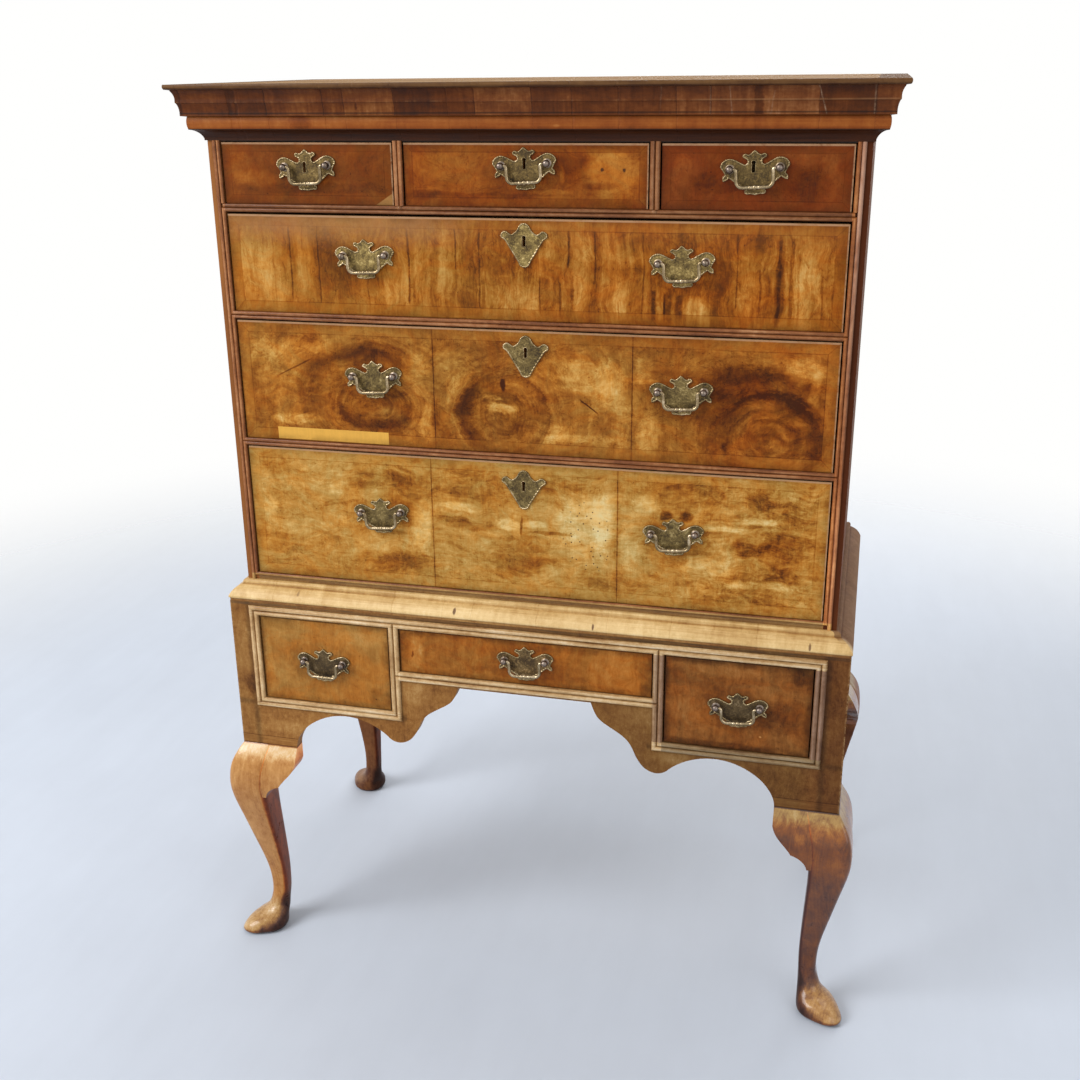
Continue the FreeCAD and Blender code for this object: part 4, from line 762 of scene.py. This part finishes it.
def standFinish(s):
    f = Finish("stand_walnut", 0.12, 0.28)
    x, z, own = f.x, f.z, s["seed"]
    warp, sway = f.cloud(14, own, 14, 2, 0.5), f.cloud(14, own + 1, 14, 2, 0.5)
    bentX, bentZ = x + warp * 0.005, z + sway * 0.005
    fleck = f.swing((bentX * 105, own + 2, bentZ * 85), 4, 0.84)
    upright = f.swing((bentX * 70, own + 3, bentZ * 12), 4, 0.76, 0.5)
    patch = f.cloud(15, own + 4, 15, 4, 0.72, 0.8)
    lines = f.swing((bentX * 420, own + 5, bentZ * 26), 3, 0.65)
    specks = f.span(f.noise((x * 210, own + 6, z * 190), 2, 0.6), 0.66, 0.76)
    motes = f.span(f.noise((x * 330, own + 7, z * 330), 1, 0.5), 0.7, 0.76)
    flat = f.vector(bentX, 0, z + warp * 0.005)
    tone = 0.52 + fleck * 0.19 + upright * 0.1 + patch * 0.14 + lines * 0.04 - specks * 0.25 \
        + f.stains(flat, s["stains"], fleck * 0.2) + motes * 0.2
    # level strip at the foot of each stile and the thin greyed strip under the moulding
    stiles = abs(x) > 0.42
    level = f.cloud(12, own + 8, 420, 3, 0.65)
    tone = f.pick((z < 0.4195) * stiles, tone, 0.52 + level * 0.16 + fleck * 0.1)
    tone -= f.span(abs(z - 0.4195), 0.0012, 0.0003, 0, 0.22) * stiles
    # a painted shadow line along the foot of the stiles, above the legs
    tone -= f.span(z, 0.405, 0.4018, 0, 0.45) * stiles
    f.colour = f.ramp(tone, s["stops"])
    # grime and painted shade beside the beads, under the moulding
    close = f.maths("MINIMUM", abs(abs(x) - 0.4945), abs(z - 0.4865) + (abs(x) < 0.21) * 9)
    f.shade(f.span(close + fleck * 0.0015, 0, 0.009, 0.62, 1))
    grey = f.span(z, 0.6735, 0.6755) * f.span(level, -0.5, 0.6, 0.3, 0.9)
    f.paint(grey, (0.095, 0.055, 0.026))
    # painted light and shade: paler to the left, darker to the right, at the outer edges and low on the
    # right
    stile = f.pick(x > 0, f.span(x, -0.478, -0.5, 1, 0.86),
                   f.span(x, 0.478, 0.5, 1, 0.76) * f.span(z, 0.64, 0.45, 1, 0.86))
    f.shade(f.span(x, -0.45, 0.45, s["left"], s["right"]) * stile)
    f.tint(f.span(x, 0.45, 0.5), (1.06, 0.9, 0.86))
    f.paint(f.span(abs(x), 0.5235, 0.5262) * f.span(fleck, -0.5, 0.5) * 0.4, s["rim"])
    f.relief(lines * 0.1 + warp * 0.25 + fleck * 0.16, 0.0005, 0.6)
    f.dress(["stand_front"], s["rough"] + patch * 0.06, f.span(patch, -0.8, 0.8, 0.1, 0.02))


standFinish(standLook)
print("stand front finished")

legLook = {
    "front": {
        "seed": 41, "left": 0, "right": 0.28, "head": 0.09, "knee": 0.14, "knob": 0.06, "coat": 0.5,
        "polish": 0.3, "specular": 0.22, "rough": 0.3, "stops": ((0, 28, 8, 4), (22, 85, 24, 8),
            (40, 215, 68, 12), (55, 390, 155, 28), (70, 540, 265, 78), (85, 700, 440, 190),
            (100, 800, 630, 420))},
    "rear": {
        "seed": 45, "left": 0.14, "right": 0.2, "head": 0.2, "knee": 0, "knob": 0, "coat": 0.1,
        "polish": 0, "specular": 0.08, "rough": 0.44,
        "stops": ((0, 25, 8, 4), (30, 95, 30, 10), (60, 225, 85, 24), (100, 420, 210, 80))},
}


def legFinish(name, s, *pieces):
    f = Finish(name + "_leg_walnut", s["specular"], 0.1)
    nx, ny, nz = f.split(f.facing)
    z, isRight = f.z, f.x > 0
    warp = f.swing(f.at(9, 9, 4), 3, 0.55)
    across = f.x - f.y * 0.6 + warp * 0.01
    lines = f.swing((z * 8, across * 260, s["seed"]), 4, 0.68)
    figure = f.swing(f.at(30, 30, 15), 4, 0.72, 1)
    soil = f.swing(f.at(55, 55, 44), 4, 0.78)
    pores = f.span(f.noise((z * 70, across * 1400, s["seed"] + 7), 1), 0.62, 0.74)
    tone = 0.6 + lines * 0.06 + figure * 0.11 + soil * 0.09 - pores * 0.08 \
        + f.span(abs(z - 0.345), 0.04, 0.01) * f.pick(isRight, 0, s["knob"])
    # the pale head of the knee, worn and with a painted highlight, then a darker stain that ends it
    head = f.span(z + soil * 0.005 + figure * 0.004, 0.372, 0.394)
    cloud = f.span(abs(z - 0.345 + figure * 0.012), 0.04, 0) * f.span(ny, -0.2, -0.8)
    tone += head * f.pick(isRight, 0.26, s["head"]) - cloud * f.pick(isRight, 0, 0.18)
    tone -= f.pick(isRight, -0.02, s["knee"]) * f.span(z, 0.27, 0.33)
    dark = f.pick(isRight, s["left"], s["right"])
    tone -= f.span(abs(z - 0.175), 0.155, 0.1) * dark + dark * 0.12
    # painted shade on the faces turned inward, away from the light
    inwardShade = f.span(nx * f.maths("SIGN", f.x) * -1, 0.1, 0.7)
    low = f.span(z, 0.075, 0.045)    # the feet
    # painted shade: darker on the inward faces, the faces turned down, the last few millimetres above
    # the floor, the feet away from their tops and a line under the stand's base; dirty patches darker
    # too
    tone = tone - inwardShade * f.span(z, 0.375, 0.335, 0, 0.36) - f.span(nz, -0.3, -0.9, 0, 0.25) \
        - f.span(z, 0.006, 0, 0, 0.35) - low * (f.span(nz, 0.55, 0.05, 0, 0.2) - soil * 0.1) \
        - f.span(z, 0.3995, 0.4018, 0, 0.45) - f.span(soil, 0.45, 1, 0, 0.16)
    f.colour = f.ramp(tone, s["stops"])
    # a painted highlight turns the head of the right-hand knee grey-blue; the upward faces of the feet
    # are tinted paler and cooler
    f.tint(head * isRight, (1.05, 1.55, 2.5))
    f.tint(isRight * f.span(head, 1, 0.3), (0.98, 0.88, 0.72))
    f.tint(low * f.span(nz, -0.1, 0.4), (1.1, 1.5, 2.6))
    # the inward faces, painted as shaded, also turn redder
    f.tint(inwardShade * f.span(z, 0.05, 0.1), (1.75, 1.1, 0.7))
    f.relief(lines * 0.08 + warp * 0.3 + soil * 0.12, 0.0006, 0.6)
    polish = f.span(soil, -0.8, 0.8, s["coat"], 0.3) + isRight * s["polish"]
    f.dress(pieces, s["rough"] + soil * 0.05 + f.span(z, 0.41, 0.42, 0, 0.4),
            polish * (z < 0.4025) * (1 - inwardShade))


legFinish("front", legLook["front"], "leg_front_left", "leg_front_right", "knee_brackets")
legFinish("rear", legLook["rear"], "leg_rear_left", "leg_rear_right")
print("legs finished")

brassLook = {
    "plate": {
        "rough": 0.46, "worn": 0.78, "stops": ((0, 45, 25, 7), (30, 164, 107, 34), (50, 327, 232, 82),
            (70, 500, 364, 141), (100, 1000, 800, 390))},
    "rim": {
        "rough": 0.36, "worn": 0.9,
        "stops": ((0, 40, 26, 11), (35, 160, 112, 50), (60, 320, 235, 115), (100, 660, 530, 340))},
    "bail": {
        "rough": 0.28, "worn": 0.95,
        "stops": ((0, 50, 34, 18), (35, 180, 128, 64), (60, 320, 240, 135), (100, 660, 540, 380))},
    "iron": {
        "rough": 0.55, "worn": 0.9,
        "stops": ((0, 20, 16, 14), (60, 100, 85, 75), (100, 220, 200, 180))},
    "knob": (0.21, 0.17, 0.15),    # rubbed bright ends of the posts, their grey colour also a painted reflection
    "lift": 0.0017,                # a plate's flat face in front of the drawer's
    # rims in metres, inside the edge of a plate and outside a keyhole; areas in square millimetres
    "edgeRim": {"area": (900, 1e5), "tall": 0, "inward": 1, "width": 0.0024, "height": 0.001,
                "step": 0.0011, "pitch": 0.0062, "swell": 0.2},
    "keyRim": {"area": (20, 400), "tall": 0.009, "inward": -1, "width": 0.0011, "height": 0.0008,
               "step": 0.0011, "pitch": 0.0062, "swell": -0.2},
    # a rim's section: share of its width and of its height
    "profile": ((0.02, -0.12), (0.04, 0.55), (0.2, 0.92), (0.45, 1), (0.72, 0.8), (0.9, 0.4), (1, -0.1)),
    # rows by shade, each with the tint of its plates: partly their own tarnish, partly lit and shaded
    # copies of one brass, a painted light and shade
    "shades": {
        "golden": (("top_left", "top_middle", "top_right"), (0.38, 0.34, 0.29)),
        "bright": (("upper",), (0.67, 0.65, 0.58)), "olive": (("middle", "lower"), (0.465, 0.445, 0.41)),
        "dark": (("stand_left", "stand_right"), (0.265, 0.235, 0.26)),
        "tan": (("stand_middle",), (0.48, 0.42, 0.44))},
}


# rubbed brass; faces turned up are painted paler and faces turned down darker, a painted light and
# shade, and its paler parts are more metallic and smoother
def brassFinish(name, s, pieces=(), front=None, tint=None):
    f = Finish(name, 0.5)
    soft = f.noise(f.at(55, 55, 55), 3, 0.6)
    fine = f.noise(f.at(380, 380, 380), 3, 0.7)
    scratch = f.noise(f.at(900, 300, 120), 2, 0.5)
    # the tone rises with the faces' upward turn: painted light from above
    tone = 0.55 + (soft - 0.5) * 1.3 + (fine - 0.5) * 0.8 + (scratch - 0.5) * 0.2 \
        + f.split(f.facing)[2] * 0.14
    if tint:    # cast scrolls worn nearly flat, with dirt lying between them
        scroll = f.swing(f.at(120, 60, 150), 3, 0.6, 1.8)
        tone += scroll * 0.2 - f.span(abs(scroll), 0.2, 0, 0, 0.24)
    f.colour = f.ramp(tone, s["stops"])
    metal = f.span(tone, 0.1, 0.8, s["worn"] - 0.25, s["worn"])
    rough = s["rough"] + (fine - 0.5) * 0.3 - (tone - 0.5) * 0.12
    if tint:
        f.tint(1, tint)
        # the post ends: rubbed bright and painted grey, a painted reflection
        knob = f.span(f.y - front, -0.0025, -0.004)
        f.paint(knob * f.span(tone, 0.2, 0.6, 0.3, 0.9), brassLook["knob"])
        metal, rough = f.pick(knob, metal, 0.95), f.pick(knob, rough, 0.36)
    f.show("Metallic", metal)
    f.relief(soft * 0.8 + fine * 0.7, 0.00025, 0.7)
    f.dress(pieces, rough)
    return f


# the plane of the drawer fronts that a brass lies on
def frontOf(name):
    return -0.2755 if "stand" in name else -0.2495


for shade, (rows, tint) in brassLook["shades"].items():
    pieces = ["drawer_" + row + "_brass" for row in rows]
    brassFinish("brass_" + shade, brassLook["plate"], pieces, frontOf(rows[0]), tint)
rimBrass = brassFinish("brass_rim", brassLook["rim"])
brassFinish("brass_bail", brassLook["bail"], [n for n in cadNodes if "_bail" in n])
brassFinish("lock_iron", brassLook["iron"], [n for n in cadNodes if n.endswith("_bolt")])
brassNodes = [n for n in cadNodes if n.endswith("_brass")]


# closed outlines of the plates and shields, read off the flat faces of the brasses
def plateLoops(piece, front):
    weld, facesFront, sameLevel, fewest = 2e-6, -0.99, 0.0009, 6
    work = bmesh.new()
    work.from_mesh(piece.data)
    bmesh.ops.remove_doubles(work, verts=work.verts, dist=weld)
    work.faces.ensure_lookup_table()
    # kept in the mesh's own order, so that each run starts the outlines at the same point
    flats = dict.fromkeys(face for face in work.faces if face.normal.y < facesFront
                          and abs(face.calc_center_median().y - front) < sameLevel)
    ahead = {}
    for face in flats:
        for loop in face.loops:
            if sum(other in flats for other in loop.edge.link_faces) == 1:
                here, there = loop.vert, loop.link_loop_next.vert
                ahead.setdefault(here, []).append(there)
    found = []
    while ahead:
        start = next(iter(ahead))
        run, here = [start], ahead[start].pop()
        while here is not start and ahead.get(here):
            run.append(here)
            here = ahead[here].pop()
        found.append([Vector((v.co.x, v.co.z)) for v in run] + [run[0].co.y])
        ahead = {k: v for k, v in ahead.items() if v}
    work.free()
    return [(loop[:-1], loop[-1]) for loop in found if len(loop) > fewest]


def loopArea(points):
    return sum(a.x * b.y - b.x * a.y for a, b in zip(points, points[1:] + points[:1])) / 2


def evenRun(points, step):
    out = []
    for a, b in zip(points, points[1:] + points[:1]):
        parts = max(1, math.ceil((b - a).length / step))
        out += [a.lerp(b, k / parts) for k in range(parts)]
    return out


# a raised, rounded rim laid on a flat face along a closed outline; it swells along its run
def addRim(work, points, y, s):
    points = evenRun(points, s["step"])
    count = len(points)
    beads = round(count * s["step"] / s["pitch"])
    turn = s["inward"] if loopArea(points) > 0 else -s["inward"]
    normals, rows = [], []
    for k in range(count):
        tangent = (points[(k + 2) % count] - points[k - 2]).normalized()
        normals.append(Vector((-tangent.y, tangent.x)) * turn)
    for u, h in brassLook["profile"]:
        row = []
        for k, (p, n) in enumerate(zip(points, normals)):
            swell = 1 + s["swell"] * math.sin(2 * math.pi * beads * k / count)
            reach, out = u * s["width"] * swell, h * s["height"] * swell
            row.append(work.verts.new((p.x + n.x * reach, y - out, p.y + n.y * reach)))
        rows.append(row)
    for low, high in zip(rows, rows[1:]):
        for k in range(count):
            work.faces.new((low[k], low[(k + 1) % count], high[(k + 1) % count], high[k]))


def addObject(name, data):
    made = bpy.data.objects.new(name, data)
    bpy.context.scene.collection.objects.link(made)
    return made


def finishMesh(name, work, body, finish):
    bmesh.ops.recalc_face_normals(work, faces=work.faces)
    mesh = bpy.data.meshes.new(name)
    work.to_mesh(mesh)
    work.free()
    for face in mesh.polygons:
        face.use_smooth = True
    mesh.materials.append(finish.material)
    piece = addObject(name, mesh)
    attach(piece, body)


for node in brassNodes:
    body = node[:-len("_brass")]
    work = bmesh.new()
    for points, y in plateLoops(cadNodes[node], frontOf(node) - brassLook["lift"]):
        area = abs(loopArea(points)) * 1e6
        tall = max(p.y for p in points) - min(p.y for p in points)
        for rim in (brassLook["edgeRim"], brassLook["keyRim"]):
            if rim["area"][0] < area < rim["area"][1] and tall > rim["tall"]:
                addRim(work, points, y, rim)
    finishMesh(body + "_rims", work, body, rimBrass)
print("brasses finished:", len(brassNodes))

linkLook = {
    "places": (-0.1895, 0.2005), "half": 0.0039, "radius": 0.00318, "height": 1.3464,
    "face": -0.25, "lip": 0.0008, "steps": 10,
}


# short beads that carry the rail's upper bead past the foot of each partition
def beadLinks(s):
    work = bmesh.new()
    turns = [math.pi * k / s["steps"] for k in range(s["steps"] + 1)]
    bow = [(s["lip"] + s["radius"] * math.sin(a), s["radius"] * math.cos(a)) for a in turns]
    outline = [(0, s["radius"]), *bow, (0, -s["radius"])]
    for place in s["places"]:
        ends = [[work.verts.new((x, s["face"] - out, s["height"] + up)) for out, up in outline]
                for x in (place - s["half"], place + s["half"])]
        for k in range(len(outline)):
            after = (k + 1) % len(outline)
            work.faces.new((ends[0][k], ends[0][after], ends[1][after], ends[1][k]))
        for end in ends:
            work.faces.new(end)
    finishMesh("bead_links", work, "carcass", caseBead)


beadLinks(linkLook)

# a round floor that fades out between two distances from the middle
stageLook = {"floor": (0.58, 0.63, 0.715), "size": 5, "sides": 96, "fadeFrom": 1.5, "fadeTo": 3.4}


def makeStage(s):
    work = bmesh.new()
    bmesh.ops.create_circle(work, cap_ends=True, segments=s["sides"], radius=s["size"])
    mesh = bpy.data.meshes.new("floor")
    work.to_mesh(mesh)
    work.free()
    f = Finish("floor_paint", 0.3)
    tone = f.swing((f.x * 3, f.y * 3, 0), 4, 0.6)
    smear = f.swing((f.x * 14, f.y * 3, 2))
    f.colour = f.scaled(s["floor"], 1 + tone * 0.03 + smear * 0.02)
    f.dress((), 0.5 + tone * 0.05)
    # the floor thins out into the white background
    far = f.length(f.place)
    clear = f.node("BsdfTransparent", {}, {})
    thin = f.node("MixShader", {}, {0: f.span(far, s["fadeFrom"], s["fadeTo"]),
                                    1: f.surface.outputs[0], 2: clear.outputs[0]})
    f.feed(f.output.inputs["Surface"], thin.outputs[0])
    mesh.materials.append(f.material)
    floor = addObject("floor", mesh)


lampLook = {
    "key": {"place": (-3.1, -2.7, 3.3), "size": 2.4, "power": 172, "aim": (0, 0, 0.8)},
    "fill": {"place": (3, -2.8, 2), "size": 2.6, "power": 27, "aim": (0, 0, 0.8)},
    "top": {"place": (0.2, 0.6, 3.6), "size": 3, "power": 29, "aim": (0, 0, 0.9)},
    "back": {"place": (0.6, 3.4, 2.4), "size": 2.6, "power": 50, "aim": (0, 0, 0.8)},
}


def makeLamp(name, s):
    light = bpy.data.lights.new(name, "AREA")
    light.shape = "SQUARE"
    light.size = s["size"]
    light.energy = s["power"]
    lamp = addObject(name, light)
    lamp.location = s["place"]
    aim = Vector(s["aim"]) - Vector(s["place"])
    lamp.rotation_euler = aim.to_track_quat("-Z", "Y").to_euler()


worldLook = {"light": (1, 1, 1), "strength": 0.48, "seen": (1, 1, 0.99)}


def makeWorld(s):
    world = bpy.data.worlds.new("studio")
    bpy.context.scene.world = world
    world.use_nodes = True
    t = Tree(world.node_tree)
    rays = t.node("LightPath", {}, {}).outputs
    seenBy = rays["Is Camera Ray"]
    for kind in ("Is Glossy Ray", "Is Transmission Ray"):
        seenBy = t.maths("MAXIMUM", seenBy, rays[kind])
    light = t.node("Background", {}, {0: s["light"], 1: s["strength"]})
    seen = t.node("Background", {}, {0: s["seen"]})
    mixed = t.node("MixShader", {}, {0: seenBy, 1: light.outputs[0], 2: seen.outputs[0]})
    t.node("OutputWorld", {}, {0: mixed.outputs[0]})


cameraLook = {"place": (0.5145, -2.158, 1.5497), "turn": (69.654, 0.678, 14.532), "lens": 43.23,
              "sensor": 36, "shift": (0.0076, 0.0039), "farthest": 60}


def makeCamera(s):
    data = bpy.data.cameras.new("camera")
    data.sensor_width = s["sensor"]
    data.lens = s["lens"]
    data.shift_x, data.shift_y = s["shift"]
    data.clip_end = s["farthest"]
    camera = addObject("camera", data)
    camera.location = s["place"]
    camera.rotation_euler = [math.radians(a) for a in s["turn"]]
    bpy.context.scene.camera = camera


makeStage(stageLook)
for name, settings in lampLook.items():
    makeLamp(name, settings)
makeWorld(worldLook)
makeCamera(cameraLook)
bpy.context.scene.view_settings.view_transform = "Standard"
print("stage, light and camera ready")
